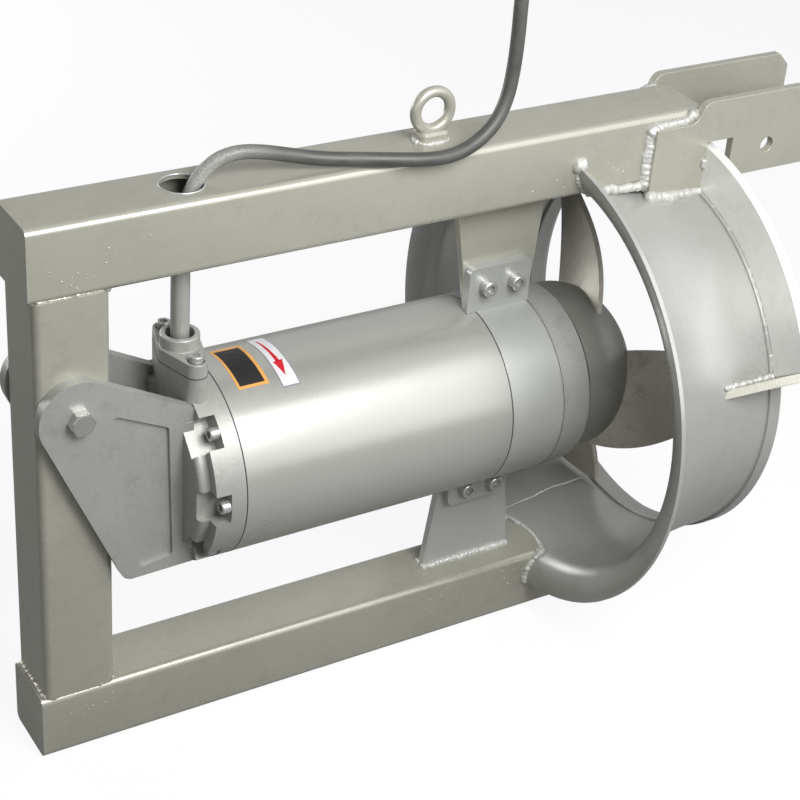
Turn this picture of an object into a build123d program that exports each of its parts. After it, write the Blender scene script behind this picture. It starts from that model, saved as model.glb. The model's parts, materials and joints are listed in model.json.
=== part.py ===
from build123d import *
from math import atan, cos, degrees, pi, radians, sin, tan
import os

# Sludge return pump: a submersible motor and an axial impeller in a bell-mouth duct, carried by a
# welded frame of square tube. Millimetres, +Z up, the flow along +X. The origin is the centre of
# the hanger bore through the two arms. Stations are distances along the pump axis from the rear
# post's centre, and heights are distances above the pump axis.

# Frame of square tube
tube_side = 80
tube_wall = 5
tube_inner_corner = 3
beam_over_duct = 14
cap_thickness = 5
top_beam_past_bell = 12
bottom_beam_past_rim = 51

# Rear cover, with the ears that straddle the post
cover_station = 113
cover_length = 47
cover_body_length = 12
cover_body_step = 14
cover_rim_wall = 17
cover_wall = 12
ear_thickness = 13
pivot_height = 112
pivot_size = 16
pivot_washer_thickness = 3
pivot_thread_past_nut = 5
pivot_boss_r = 43
ear_recess_depth = 4
pocket_width = 36
pocket_sink = 24
pocket_flange = 18
cover_screw_size = 10
cover_screw_inset = 8
cover_screw_length = 45
cover_spigot = 6
seam_chamfer = 0.8
seal_section = 2.5

# Motor
motor_r = 110
motor_wall = 18
pilot_depth = 3
motor_length = 330.7
core_depth = 29
air_gap = 0.5
core_length = 170
core_from_cover = 112
winding_length = 30
winding_gap = 4
end_ring_gap = 3
end_ring_length = 8
end_ring_inner_r = 34
fit_gap = 0.05
rear_bracket_flange = 6
rear_bracket_web = 7
rear_bracket_boss_wall = 14

# Bearings: bore radius, outer radius and width of each
rear_bearing_bore_r = 20
rear_bearing_outer_r = 45
rear_bearing_width = 23
front_bearing_bore_r = 25
front_bearing_outer_r = 55
front_bearing_width = 27
ball_count = 8
race_share = 0.24

# Front housing with its two lugs, and the oil chamber cover
housing_length = 66.8
housing_front_web = 12.5
housing_hub_wall = 14
housing_rim_wall = 10
housing_spigot = 8
housing_screw_size = 8
housing_screw_inset = 9
housing_screw_count = 6
housing_screw_length = 78
pilot_spare = 2
lug_corner_r = 8
lug_over_gap = 0.6
lug_thickness = 12
lug_width = 82
lug_from_housing = -12.5
upper_lug_rise = 54
lower_lug_rise = 42
upper_lug_screw_rise = 30
lower_lug_screw_rise = 20
lug_screw_size = 12
lug_screw_spacing = 38
oil_cover_length = 42.5
oil_cover_taper = 2
oil_cover_wall = 14
oil_cover_side_wall = 26
oil_screw_size = 8
oil_screw_inset = 17
oil_screw_length = 45
oil_cover_edge_r = 6
plug_size = 16
plug_sink = 3
screw_head_clearance = 2
tapping_depth = 2

# Shaft and its seals
shaft_core_r = 27
shaft_seal_r = 22
shaft_hub_r = 20
seal_seat_r = 36
seal_ring_r = 31
seal_seat_length = 8
seal_ring_length = 20
seal_running_gap = 0.06

# Support webs between the motor and the beams
web_thickness = 10
web_clearance = 2
upper_web_foot = 118
upper_web_tip = 84
lower_web_foot = 122
lower_web_tip = 90
web_tip_lean = 7

# Impeller
hub_gap = 4
hub_step = 10
hub_straight = 21
hub_dome = 80
blade_count = 3
blade_tip_gap = 8
blade_thickness = 7
blade_base_r = 96
blade_span = 113
impeller_bolt_size = 20
impeller_bolt_length = 40
washer_r = 26
washer_thickness = 5
washer_clearance = 1
key_width = 12
key_height = 8
key_length = 48
key_depth_in_shaft = 5
shaft_step_in_hub = 4
shaft_short_of_dome = 37

# Bell-mouth duct, outlet ring and arc flange plate
bell_ahead_of_hub = 15.3
bell_flare = 60
duct_r = 223
lip_share = 0.7
bell_length = 152.3
bell_wall = 5
spigot_length = 16
collar_length = 16
ring_step = 4
collar_rise = 3
outlet_chamfer = 13
outlet_lip = 2
arc_plate_thickness = 12
arc_plate_width = 55
gusset_thickness = 10
gusset_angle = 15.5
gusset_tilt = 35
gusset_length = 85
gusset_nose = 10

# Hanger arms
arm_thickness = 10
arm_height = 100
arm_lead = 54
arm_tail = 98
arm_toe_height = 24
arm_toe_length = 45
arm_ramp_length = 30
arm_drop = 47.5
arm_slot = 38
arm_chamfer = 15
hanger_reach = 79
hanger_bore_r = 9
bore_below_beam = 16

# Cable entry, cable and lifting eye
gland_from_cover = 20
gland_rise = 32
gland_flange_thickness = 16
gland_centre_r = 23
gland_ear_r = 12
gland_screw_offset = 39
gland_screw_size = 10
gland_screw_length = 34
gland_spot_depth = 3
gland_spot_margin = 1
gland_edge_r = 2
gland_collar_r = 21
gland_collar_height = 14
gland_bore_r = 15.5
cable_entry_r = 13
packing_length = 18
cable_r = 7.5
sleeve_r = 10
sleeve_depth = 6
sleeve_top_in_beam = 20
cable_lead_inside = 12
cable_hole_r = 23
eye_station = 421
eye_ring_r = 21
eye_bar_r = 6
eye_foot_length = 36
eye_foot_width = 24
eye_foot_height = 12
grip_length = 20
grip_wall = 4
grip_eye_r = 15
grip_bar_r = 4

# Ratios of socket screws and hexagons to the thread's size
socket_head_r_ratio = 0.75
socket_ratio = 0.46
socket_depth_ratio = 0.5
socket_chamfer_ratio = 0.08
hex_flat_ratio = 0.75
hex_head_ratio = 0.63
hex_crown_ratio = 0.08
nut_ratio = 0.8
washer_ratio = 0.95

# Radii that follow from the motor's and the duct's
motor_bore_r = motor_r - motor_wall
stator_bore_r = motor_bore_r - core_depth
pilot_r = motor_bore_r + pilot_depth
cover_body_r = motor_r - cover_body_step
cover_chamber_r = pilot_r - cover_rim_wall
pocket_floor_r = motor_r - pocket_sink
cover_screw_circle_r = motor_r - cover_screw_inset
winding_inner_r = stator_bore_r + winding_gap
winding_outer_r = motor_bore_r - winding_gap
housing_rim_inner_r = pilot_r - housing_rim_wall
housing_screw_circle_r = motor_r - housing_screw_inset
oil_cover_nose_r = motor_r - oil_cover_taper
oil_chamber_r = motor_r - oil_cover_side_wall
oil_screw_circle_r = motor_r - oil_screw_inset
hub_r = motor_r - hub_step
lip_r = lip_share * bell_flare
bell_rim_r = duct_r + bell_flare
ring_bore_r = duct_r - ring_step
blade_tip_r = duct_r - blade_tip_gap

# Stations and heights that follow from the values above
tube_corner = tube_inner_corner + tube_wall
motor_start = cover_station + cover_length
motor_end = motor_start + motor_length
housing_end = motor_end + housing_length
oil_cover_end = housing_end + oil_cover_length
hub_start = oil_cover_end + hub_gap
dome_start = hub_start + hub_straight
hub_nose = dome_start + hub_dome
rim_station = hub_start - bell_ahead_of_hub
bell_end = rim_station + bell_length
spigot_end = bell_end + spigot_length
outlet_face = spigot_end + collar_length
duct_outer_r = duct_r + bell_wall
arc_plate_r = duct_outer_r + arc_plate_width
beam_rise = duct_outer_r + beam_over_duct + tube_side / 2
collar_r = duct_outer_r + collar_rise
beam_start = -tube_side / 2
top_beam_end = bell_end + top_beam_past_bell
bottom_beam_end = rim_station + bottom_beam_past_rim
beam_top = beam_rise + tube_side / 2
beam_underside = beam_rise - tube_side / 2
upper_lug_height = motor_r + upper_lug_rise
lower_lug_height = motor_r + lower_lug_rise
upper_lug_screw_height = motor_r + upper_lug_screw_rise
lower_lug_screw_height = motor_r + lower_lug_screw_rise
arm_underside = beam_rise - arm_drop
gland_top_height = motor_r + gland_rise
gland_station = cover_station + gland_from_cover
gland_seat_height = gland_top_height - gland_flange_thickness

post_x = -(outlet_face + hanger_reach)
axis_z = -(beam_rise - bore_below_beam)
pump_axis = Axis((post_x, 0, axis_z), (1, 0, 0))
side = Plane(origin=(post_x, 0, axis_z), x_dir=(1, 0, 0), z_dir=(0, -1, 0))


def across(station):
    """Plane across the pump axis: local x is +Y, local y is +Z, and it faces +X."""
    return Plane(origin=(post_x + station, 0, axis_z), x_dir=(0, 1, 0), z_dir=(1, 0, 0))


def level(height):
    """Level plane at a height above the pump axis: local x is the station, local y is +Y."""
    return Plane(origin=(post_x, 0, axis_z + height), x_dir=(1, 0, 0), z_dir=(0, 0, 1))


def ring_section(start, end, inner_r, outer_r):
    """Half section of a ring about the pump axis."""
    with BuildSketch(side) as section:
        with Locations(((start + end) / 2, (inner_r + outer_r) / 2)):
            Rectangle(end - start, outer_r - inner_r)
    return section.sketch


def turned_section(*points):
    """Half section of a turned piece, from its corners as (station, radius)."""
    with BuildSketch(side) as section:
        with BuildLine():
            Polyline(*points, close=True)
        make_face()
    return section.sketch


def square_tube_section(plane, height=0):
    """Section of the square tube, centred at a height on the plane."""
    with BuildSketch(plane) as section:
        with Locations((0, height)):
            RectangleRounded(tube_side, tube_side, tube_corner)
            bore = tube_side - 2 * tube_wall
            RectangleRounded(bore, bore, tube_inner_corner, mode=Mode.SUBTRACT)
    return section.sketch


def beam_outline(plane, height):
    """Outer outline of the square tube."""
    with BuildSketch(plane) as outline:
        with Locations((0, height)):
            RectangleRounded(tube_side, tube_side, tube_corner)
    return outline.sketch


def holes(plane, points, radius):
    """Round outlines at points of a plane."""
    with BuildSketch(plane) as outline:
        with Locations(*points):
            Circle(radius)
    return outline.sketch


def screw_holes(station, circle_r, first_angle, radius):
    """Round outlines of the housing's or the oil cover's screws, on their circle."""
    with BuildSketch(across(station)) as outline:
        with PolarLocations(circle_r, housing_screw_count, start_angle=first_angle):
            Circle(radius)
    return outline.sketch


def socket_screw(size, length):
    """Socket head screw, with its bearing face at z = 0 and its head above."""
    with BuildPart() as screw:
        head_r = socket_head_r_ratio * size
        Cylinder(head_r, size, align=(Align.CENTER, Align.CENTER, Align.MIN))
        chamfer(screw.edges().group_by(Axis.Z)[-1], socket_chamfer_ratio * size)
        with BuildSketch(Plane.XY.offset(size)):
            RegularPolygon(socket_ratio * size, 6)
        extrude(amount=-socket_depth_ratio * size, mode=Mode.SUBTRACT)
        Cylinder(size / 2, length, align=(Align.CENTER, Align.CENTER, Align.MAX))
    return screw.part


# The bell's flow surface is a tight lip and a wide throat that meet in a common tangent.
flare_turn = 2 * atan((bell_rim_r - duct_r - lip_r) / (bell_length - lip_r))
throat_r = (bell_length - lip_r) / sin(flare_turn) + lip_r
lip_centre = (rim_station + lip_r, bell_rim_r)
throat_centre = (bell_end, duct_r + throat_r)
flare_degrees = degrees(flare_turn)


def bell_section():
    """Half section of the bell's wall, from the rim to the end that holds the outlet ring."""
    with BuildSketch(side) as section:
        with BuildLine():
            lip = CenterArc(lip_centre, lip_r, 180, 90 - flare_degrees)
            throat = CenterArc(throat_centre, throat_r, 270 - flare_degrees, flare_degrees)
            Polyline(throat @ 1, (spigot_end, duct_r), (spigot_end, duct_outer_r), (bell_end, duct_outer_r))
            CenterArc(throat_centre, throat_r - bell_wall, 270, -flare_degrees)
            outer_lip = CenterArc(lip_centre, lip_r - bell_wall, 270 - flare_degrees, flare_degrees - 90)
            Line(outer_lip @ 1, lip @ 0)
        make_face()
    return section.sketch


def duct_envelope():
    """Everything within the outer surface of the duct, which welded pieces are cut back to."""
    with BuildSketch(side) as section:
        with BuildLine():
            lip = CenterArc(lip_centre, lip_r - bell_wall, 180, 90 - flare_degrees)
            throat = CenterArc(throat_centre, throat_r - bell_wall, 270 - flare_degrees, flare_degrees)
            Polyline(
                throat @ 1,
                (spigot_end, duct_outer_r),
                (spigot_end, collar_r),
                (outlet_face, collar_r),
                (outlet_face, 0),
                (rim_station + bell_wall, 0),
                lip @ 0,
            )
        make_face()
    return section.sketch


# Frame
with BuildPart() as top_beam:
    extrude(square_tube_section(across(beam_start), beam_rise), amount=top_beam_end - beam_start)
    extrude(
        holes(level(beam_rise), [(gland_station, 0)], cable_hole_r),
        amount=tube_side,
        mode=Mode.SUBTRACT,
    )
    extrude(
        holes(level(beam_rise), [(gland_station, 0)], sleeve_r + 10 * fit_gap),
        amount=-tube_side,
        mode=Mode.SUBTRACT,
    )

with BuildPart() as bottom_beam:
    extrude(square_tube_section(across(beam_start), -beam_rise), amount=bottom_beam_end - beam_start)
    revolve(bell_section(), axis=pump_axis, mode=Mode.SUBTRACT)

with BuildPart() as rear_post:
    extrude(square_tube_section(level(-beam_underside)), amount=2 * beam_underside)
    extrude(
        holes(side, [(0, pivot_height)], pivot_size / 2 + 10 * fit_gap),
        amount=tube_side,
        both=True,
        mode=Mode.SUBTRACT,
    )

with BuildPart() as beam_end_caps:
    extrude(beam_outline(across(beam_start), beam_rise), amount=-cap_thickness)
    extrude(beam_outline(across(beam_start), -beam_rise), amount=-cap_thickness)
    extrude(beam_outline(across(top_beam_end), beam_rise), amount=cap_thickness)

# Hanger arms: each has a toe on the duct, a slot for the arc plate and a long tail past the outlet
arm_start = bell_end - arm_lead
arm_top = beam_rise + arm_height / 2
arm_end = outlet_face + hanger_reach + arm_tail
arc_plate_station = outlet_face - arc_plate_thickness
slot_end = arc_plate_station + arm_slot

with BuildPart() as front_hanger_arm:
    with BuildSketch(side.offset(tube_side / 2)):
        with BuildLine():
            toe = Polyline(
                (arc_plate_station, arc_plate_r),
                (arc_plate_station, duct_r - bell_wall),
                (arm_start, duct_r - bell_wall),
                (arm_start, arm_top - arm_toe_height),
                (arm_start + arm_toe_length, arm_top - arm_toe_height),
            )
            ramp_end = (arm_start + arm_toe_length + arm_ramp_length, arm_top)
            Spline(toe @ 1, ramp_end, tangents=((1, 0), (1, 0)))
            Polyline(
                ramp_end,
                (arm_end - arm_chamfer, arm_top),
                (arm_end, arm_top - arm_chamfer),
                (arm_end, arm_underside + arm_chamfer),
                (arm_end - arm_chamfer, arm_underside),
                (slot_end, arm_underside),
                (slot_end, arc_plate_r),
                (arc_plate_station, arc_plate_r),
            )
        make_face()
        with Locations((outlet_face + hanger_reach, beam_rise - bore_below_beam)):
            Circle(hanger_bore_r, mode=Mode.SUBTRACT)
    extrude(amount=arm_thickness)
    revolve(duct_envelope(), axis=pump_axis, mode=Mode.SUBTRACT)

with BuildPart() as rear_hanger_arm:
    add(mirror(front_hanger_arm.part, about=Plane.XZ, mode=Mode.PRIVATE))

with BuildPart() as lifting_eye:
    with BuildSketch(level(beam_top)):
        with Locations((eye_station, 0)):
            RectangleRounded(eye_foot_length, eye_foot_width, eye_foot_width / 3)
    extrude(amount=eye_foot_height)
    chamfer(lifting_eye.edges().group_by(Axis.Z)[-1], eye_foot_height / 4)
    ring_height = beam_top + eye_foot_height / 2 + eye_bar_r + eye_ring_r
    with BuildSketch(level(ring_height)):
        with Locations((eye_station + eye_ring_r, 0)):
            Circle(eye_bar_r)
    revolve(axis=Axis((post_x + eye_station, 0, axis_z + ring_height), (0, 1, 0)))
    # the ring's bar stays above the face that is welded to the beam
    with BuildSketch(level(beam_top)):
        with Locations((eye_station, 0)):
            Rectangle(4 * eye_ring_r, 4 * eye_ring_r)
    extrude(amount=-4 * eye_bar_r, mode=Mode.SUBTRACT)

# Duct
with BuildPart() as bell_mouth:
    revolve(bell_section(), axis=pump_axis)
    extrude(
        beam_outline(across(beam_start), beam_rise),
        amount=top_beam_end - beam_start,
        mode=Mode.SUBTRACT,
    )

with BuildPart() as outlet_ring:
    revolve(
        turned_section(
            (bell_end, ring_bore_r),
            (outlet_face - outlet_chamfer, ring_bore_r),
            (outlet_face, collar_r - outlet_lip),
            (outlet_face, collar_r),
            (spigot_end, collar_r),
            (spigot_end, duct_r),
            (bell_end, duct_r),
        ),
        axis=pump_axis,
    )

# The arc plate stands on the two gussets, whose planes lean outwards.
gusset_foot_y = -duct_outer_r * cos(radians(gusset_angle))
gusset_foot_z = duct_outer_r * sin(radians(gusset_angle))
lean_y = sin(radians(gusset_tilt))
lean_z = cos(radians(gusset_tilt))


def plate_end(outward):
    """Point on the front gusset's top face, a distance outwards from its foot line."""
    return (
        gusset_foot_y + lean_y * gusset_thickness / 2 - lean_z * outward,
        gusset_foot_z + lean_z * gusset_thickness / 2 + lean_y * outward,
    )


def flipped(point):
    """The same point on the other side of the pump's middle plane."""
    return (-point[0], point[1])


inside_end = plate_end(-arc_plate_width)
outside_end = plate_end(2 * arc_plate_width)

with BuildPart() as outlet_flange_plate:
    with BuildSketch(across(arc_plate_station)):
        Circle(arc_plate_r)
        Circle(collar_r, mode=Mode.SUBTRACT)
        with BuildLine():
            Polyline(
                outside_end,
                inside_end,
                flipped(inside_end),
                flipped(outside_end),
                (2 * arc_plate_r, 2 * arc_plate_r),
                (-2 * arc_plate_r, 2 * arc_plate_r),
                close=True,
            )
        make_face(mode=Mode.INTERSECT)
    extrude(amount=arc_plate_thickness)

gusset_plane = Plane(
    origin=(post_x, gusset_foot_y, axis_z + gusset_foot_z),
    x_dir=(1, 0, 0),
    z_dir=(0, lean_y, lean_z),
)

with BuildPart() as flange_gussets:
    with BuildSketch(gusset_plane):
        with BuildLine():
            Polyline(
                (outlet_face, arc_plate_width / 2),
                (outlet_face, -arc_plate_width),
                (outlet_face - gusset_nose, -arc_plate_width),
                (outlet_face - gusset_length, 0),
                (outlet_face - gusset_length, arc_plate_width / 2),
                close=True,
            )
        make_face()
    extrude(amount=gusset_thickness / 2, both=True)
    revolve(duct_envelope(), axis=pump_axis, mode=Mode.SUBTRACT)
    mirror(about=Plane.XZ)

# Support webs
web_station = motor_end + lug_from_housing + lug_width / 2
web_tip_height = motor_r + web_clearance
lug_screw_stations = (web_station - lug_screw_spacing / 2, web_station + lug_screw_spacing / 2)


def lug_screw_points(height):
    """Centres of the two screws of one lug, in the side view."""
    return [(station, height) for station in lug_screw_stations]


def support_web(foot, tip, lean, sign, screw_height):
    """Tapered plate in the middle plane, from a beam towards the motor, with its two screw holes."""
    with BuildPart() as web:
        with BuildSketch(side):
            with BuildLine():
                Polyline(
                    (web_station - foot / 2, sign * beam_underside),
                    (web_station + foot / 2, sign * beam_underside),
                    (web_station + lean + tip / 2, sign * web_tip_height),
                    (web_station + lean - tip / 2, sign * web_tip_height),
                    close=True,
                )
            make_face()
        extrude(amount=web_thickness / 2, both=True)
        extrude(
            holes(side, lug_screw_points(sign * screw_height), lug_screw_size / 2 + 10 * fit_gap),
            amount=web_thickness,
            both=True,
            mode=Mode.SUBTRACT,
        )
    return web


upper_support_plate = support_web(
    upper_web_foot, upper_web_tip, web_tip_lean, 1, upper_lug_screw_height
)
lower_support_plate = support_web(lower_web_foot, lower_web_tip, 0, -1, lower_lug_screw_height)

# Rear suspension: one bolt through both ears and the post
ear_inner = tube_side / 2
ear_outer = ear_inner + ear_thickness
nut_height = nut_ratio * pivot_size
hex_flat_r = hex_flat_ratio * pivot_size
hex_head_height = hex_head_ratio * pivot_size
pivot_axis_plane = Plane(
    origin=(post_x, -ear_outer, axis_z + pivot_height), x_dir=(1, 0, 0), z_dir=(0, -1, 0)
)

with BuildPart() as pivot_bolt:
    with BuildSketch(pivot_axis_plane):
        RegularPolygon(hex_flat_r, 6, major_radius=False)
    extrude(amount=hex_head_height)
    with BuildSketch(pivot_axis_plane.offset(hex_head_height)):
        Circle(hex_flat_r)
    extrude(amount=hex_crown_ratio * pivot_size, taper=30)
    with BuildSketch(pivot_axis_plane):
        Circle(pivot_size / 2)
    grip = 2 * ear_outer + pivot_washer_thickness + nut_height
    extrude(amount=-(grip + pivot_thread_past_nut))

with BuildPart() as pivot_washer:
    with BuildSketch(pivot_axis_plane.offset(-2 * ear_outer)):
        Circle(washer_ratio * pivot_size)
        Circle(pivot_size / 2 + fit_gap, mode=Mode.SUBTRACT)
    extrude(amount=-pivot_washer_thickness)

with BuildPart() as pivot_nut:
    with BuildSketch(pivot_axis_plane.offset(-2 * ear_outer - pivot_washer_thickness)):
        RegularPolygon(hex_flat_r, 6, major_radius=False)
        Circle(pivot_size / 2 + fit_gap, mode=Mode.SUBTRACT)
    extrude(amount=-nut_height)

# Rear cover: ears, ring of screw pockets and the boss under the cable gland
cover_lands_start = cover_station + cover_body_length
pocket_floor_station = motor_start - pocket_flange
pocket_depth = 2 * (motor_r - pocket_floor_r)
spigot_r = pilot_r - fit_gap
cover_spigot_end = motor_start + cover_spigot
ear_corner = (56, 25 - motor_r)
ear_corner_r = 14
ear_top_at_cover = motor_r - 15
ear_foot_at_cover = 13 - motor_r
ear_strip = 2
ear_recess_corners = (
    (38, pivot_height - 5),
    (cover_station - 16, ear_top_at_cover - 16),
    (cover_station - 11, ear_foot_at_cover + 15),
    (65, ear_foot_at_cover + 10),
    (3, pivot_height - 49),
)
ear_recess_corner_r = 5
gland_points = [(gland_station, -gland_screw_offset), (gland_station, gland_screw_offset)]


def cover_screw_places(radius):
    """Seven places at steps of 45 degrees: the eighth, at the top, is under the cable entry."""
    return PolarLocations(radius, 7, start_angle=135, angular_range=270, endpoint=True)


def gland_outline(plane):
    """Two-eared outline that the gland flange and the boss under it share."""
    with BuildSketch(plane) as outline:
        with Locations((gland_station, 0)):
            Circle(gland_centre_r)
        with Locations(*gland_points):
            Circle(gland_ear_r)
        make_hull()
    return outline.sketch


def ear_outline(plane):
    """Side view of an ear: a round end on the pivot, spreading to the cover."""
    with BuildSketch(plane) as outline:
        with Locations((0, pivot_height)):
            Circle(pivot_boss_r)
        with Locations(ear_corner):
            Circle(ear_corner_r)
        ear_middle = (ear_top_at_cover + ear_foot_at_cover) / 2
        with Locations((cover_lands_start - ear_strip / 2, ear_middle)):
            Rectangle(ear_strip, ear_top_at_cover - ear_foot_at_cover)
        make_hull()
    return outline.sketch


def ear_recess(plane):
    """Sunk panel in an ear's outer face."""
    with BuildSketch(plane) as outline:
        with BuildLine():
            Polyline(*ear_recess_corners, close=True)
        make_face()
        fillet(outline.vertices(), ear_recess_corner_r)
    return outline.sketch


def spigot_groove(station):
    """Half section of a seal ring in the spigot, centred on a station."""
    half = seal_section / 2
    return ring_section(station - half, station + half, spigot_r - seal_section, spigot_r)


with BuildPart() as rear_cover:
    revolve(ring_section(cover_station, cover_lands_start, 0, cover_body_r), axis=pump_axis)
    fillet(rear_cover.edges().group_by(Axis.X)[0], cover_body_length / 2)
    revolve(ring_section(cover_lands_start, motor_start, 0, motor_r), axis=pump_axis)
    chamfer(rear_cover.edges().group_by(Axis.X)[-1], seam_chamfer)
    revolve(ring_section(motor_start, cover_spigot_end, 0, spigot_r), axis=pump_axis)
    revolve(
        ring_section(cover_station + cover_wall, cover_spigot_end, 0, cover_chamber_r),
        axis=pump_axis,
        mode=Mode.SUBTRACT,
    )
    # pockets that open outwards, one for each screw
    with BuildSketch(across(cover_station)):
        with cover_screw_places(pocket_floor_r + pocket_depth / 2):
            Rectangle(pocket_depth, pocket_width)
    extrude(amount=pocket_floor_station - cover_station, mode=Mode.SUBTRACT)
    with BuildSketch(across(pocket_floor_station)):
        with cover_screw_places(cover_screw_circle_r):
            Circle(cover_screw_size / 2 + fit_gap)
    extrude(amount=motor_start - pocket_floor_station, mode=Mode.SUBTRACT)
    for sign in (1, -1):
        extrude(ear_outline(side.offset(sign * ear_inner)), amount=sign * ear_thickness)
        extrude(
            ear_recess(side.offset(sign * ear_outer)),
            amount=-sign * ear_recess_depth,
            mode=Mode.SUBTRACT,
        )
    extrude(
        holes(side, [(0, pivot_height)], pivot_size / 2 + fit_gap),
        amount=ear_outer,
        both=True,
        mode=Mode.SUBTRACT,
    )
    # boss and cable entry
    extrude(gland_outline(level(gland_seat_height)), amount=cover_chamber_r - gland_seat_height)
    extrude(
        holes(level(gland_seat_height), [(gland_station, 0)], cable_entry_r),
        amount=-(gland_seat_height - cover_chamber_r / 2),
        mode=Mode.SUBTRACT,
    )
    extrude(
        holes(level(gland_seat_height), gland_points, gland_screw_size / 2 + fit_gap),
        amount=-(gland_screw_length - gland_flange_thickness + gland_spot_depth + tapping_depth),
        mode=Mode.SUBTRACT,
    )
    # groove of the seal ring
    revolve(spigot_groove(motor_start + cover_spigot / 2), axis=pump_axis, mode=Mode.SUBTRACT)

with BuildPart() as rear_cover_seal:
    revolve(spigot_groove(motor_start + cover_spigot / 2), axis=pump_axis)

# The screw heads face backwards, so their plane is turned about, and the missing place with it.
cover_screw = socket_screw(cover_screw_size, cover_screw_length)
facing_back = Plane(
    origin=(post_x + pocket_floor_station, 0, axis_z), x_dir=(0, 1, 0), z_dir=(-1, 0, 0)
)
with BuildPart() as rear_cover_screws:
    with Locations(facing_back):
        with PolarLocations(cover_screw_circle_r, 7, start_angle=-45, angular_range=270, endpoint=True):
            add(cover_screw)

# Cable entry
gland_spot_r = socket_head_r_ratio * gland_screw_size + gland_spot_margin
with BuildPart() as gland_flange:
    extrude(gland_outline(level(gland_seat_height)), amount=gland_flange_thickness)
    extrude(
        holes(level(gland_top_height), [(gland_station, 0)], gland_collar_r),
        amount=gland_collar_height,
    )
    fillet(gland_flange.edges().group_by(Axis.Z)[-1], gland_edge_r)
    extrude(
        holes(level(gland_seat_height), [(gland_station, 0)], gland_bore_r),
        amount=gland_flange_thickness + gland_collar_height,
        mode=Mode.SUBTRACT,
    )
    extrude(
        holes(level(gland_top_height), gland_points, gland_spot_r),
        amount=-gland_spot_depth,
        mode=Mode.SUBTRACT,
    )
    extrude(
        holes(level(gland_seat_height), gland_points, gland_screw_size / 2 + fit_gap),
        amount=gland_flange_thickness,
        mode=Mode.SUBTRACT,
    )

gland_screw = socket_screw(gland_screw_size, gland_screw_length)
with BuildPart() as gland_screws:
    with Locations(level(gland_top_height - gland_spot_depth)):
        with Locations(*gland_points):
            add(gland_screw)


def cable_ring(start_height, end_height, inner_r, outer_r):
    """Upright ring on the cable's axis, between two heights."""
    with BuildSketch(level(start_height)) as outline:
        with Locations((gland_station, 0)):
            Circle(outer_r)
            if inner_r > 0:
                Circle(inner_r, mode=Mode.SUBTRACT)
    return extrude(outline.sketch, amount=end_height - start_height, mode=Mode.PRIVATE)


sleeve_top = beam_underside + sleeve_top_in_beam
with BuildPart() as gland_packing:
    add(
        cable_ring(
            gland_seat_height,
            gland_seat_height + packing_length,
            sleeve_r + fit_gap,
            gland_bore_r - fit_gap,
        )
    )
with BuildPart() as cable_sleeve:
    add(cable_ring(gland_seat_height - sleeve_depth, sleeve_top, cable_r + fit_gap, sleeve_r))
with BuildPart() as cable_lead:
    add(cable_ring(cover_chamber_r - cable_lead_inside, sleeve_top, 0, cable_r))

# Motor tube: plain bore for the stator, a wider pilot at each end, tapped holes in both end faces
front_pilot = housing_spigot + pilot_spare
rear_pilot = cover_spigot + rear_bracket_flange
with BuildPart() as motor_tube:
    revolve(
        turned_section(
            (motor_start, pilot_r),
            (motor_start + rear_pilot, pilot_r),
            (motor_start + rear_pilot, motor_bore_r),
            (motor_end - front_pilot, motor_bore_r),
            (motor_end - front_pilot, pilot_r),
            (motor_end, pilot_r),
            (motor_end, motor_r - seam_chamfer),
            (motor_end - seam_chamfer, motor_r),
            (motor_start + seam_chamfer, motor_r),
            (motor_start, motor_r - seam_chamfer),
        ),
        axis=pump_axis,
    )
    with BuildSketch(across(motor_start)):
        with cover_screw_places(cover_screw_circle_r):
            Circle(cover_screw_size / 2 + fit_gap)
    extrude(amount=cover_screw_length - pocket_flange + tapping_depth, mode=Mode.SUBTRACT)
    head_depth = housing_screw_size + screw_head_clearance
    housing_thread = housing_screw_length - housing_length + head_depth
    extrude(
        screw_holes(motor_end, housing_screw_circle_r, 0, housing_screw_size / 2 + fit_gap),
        amount=-(housing_thread + tapping_depth),
        mode=Mode.SUBTRACT,
    )

# Inside the motor
core_start = motor_start + core_from_cover
core_end = core_start + core_length
rotor_r = stator_bore_r - air_gap
end_ring_outer_r = rotor_r - end_ring_gap
winding_edge_r = 6
bracket_relief = 1
terminal_width = 60

with BuildPart() as stator_core:
    revolve(
        ring_section(core_start, core_end, stator_bore_r, motor_bore_r - fit_gap), axis=pump_axis
    )
with BuildPart() as stator_windings:
    revolve(
        ring_section(core_start - winding_length, core_start, winding_inner_r, winding_outer_r),
        axis=pump_axis,
    )
    revolve(
        ring_section(core_end, core_end + winding_length, winding_inner_r, winding_outer_r),
        axis=pump_axis,
    )
    fillet(stator_windings.edges().group_by(Axis.X)[0], winding_edge_r)
    fillet(stator_windings.edges().group_by(Axis.X)[-1], winding_edge_r)
with BuildPart() as terminal_block:
    with BuildSketch(across(cover_station + cover_wall)):
        with Locations((0, -terminal_width / 2)):
            RectangleRounded(terminal_width, terminal_width / 3, 3)
    extrude(amount=terminal_width / 4)
    with BuildSketch(across(cover_station + cover_wall + terminal_width / 4)):
        with Locations((0, -terminal_width / 2)):
            with GridLocations(terminal_width / 3.5, 0, 3, 1):
                Circle(terminal_width / 20)
    extrude(amount=terminal_width / 6)

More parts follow.
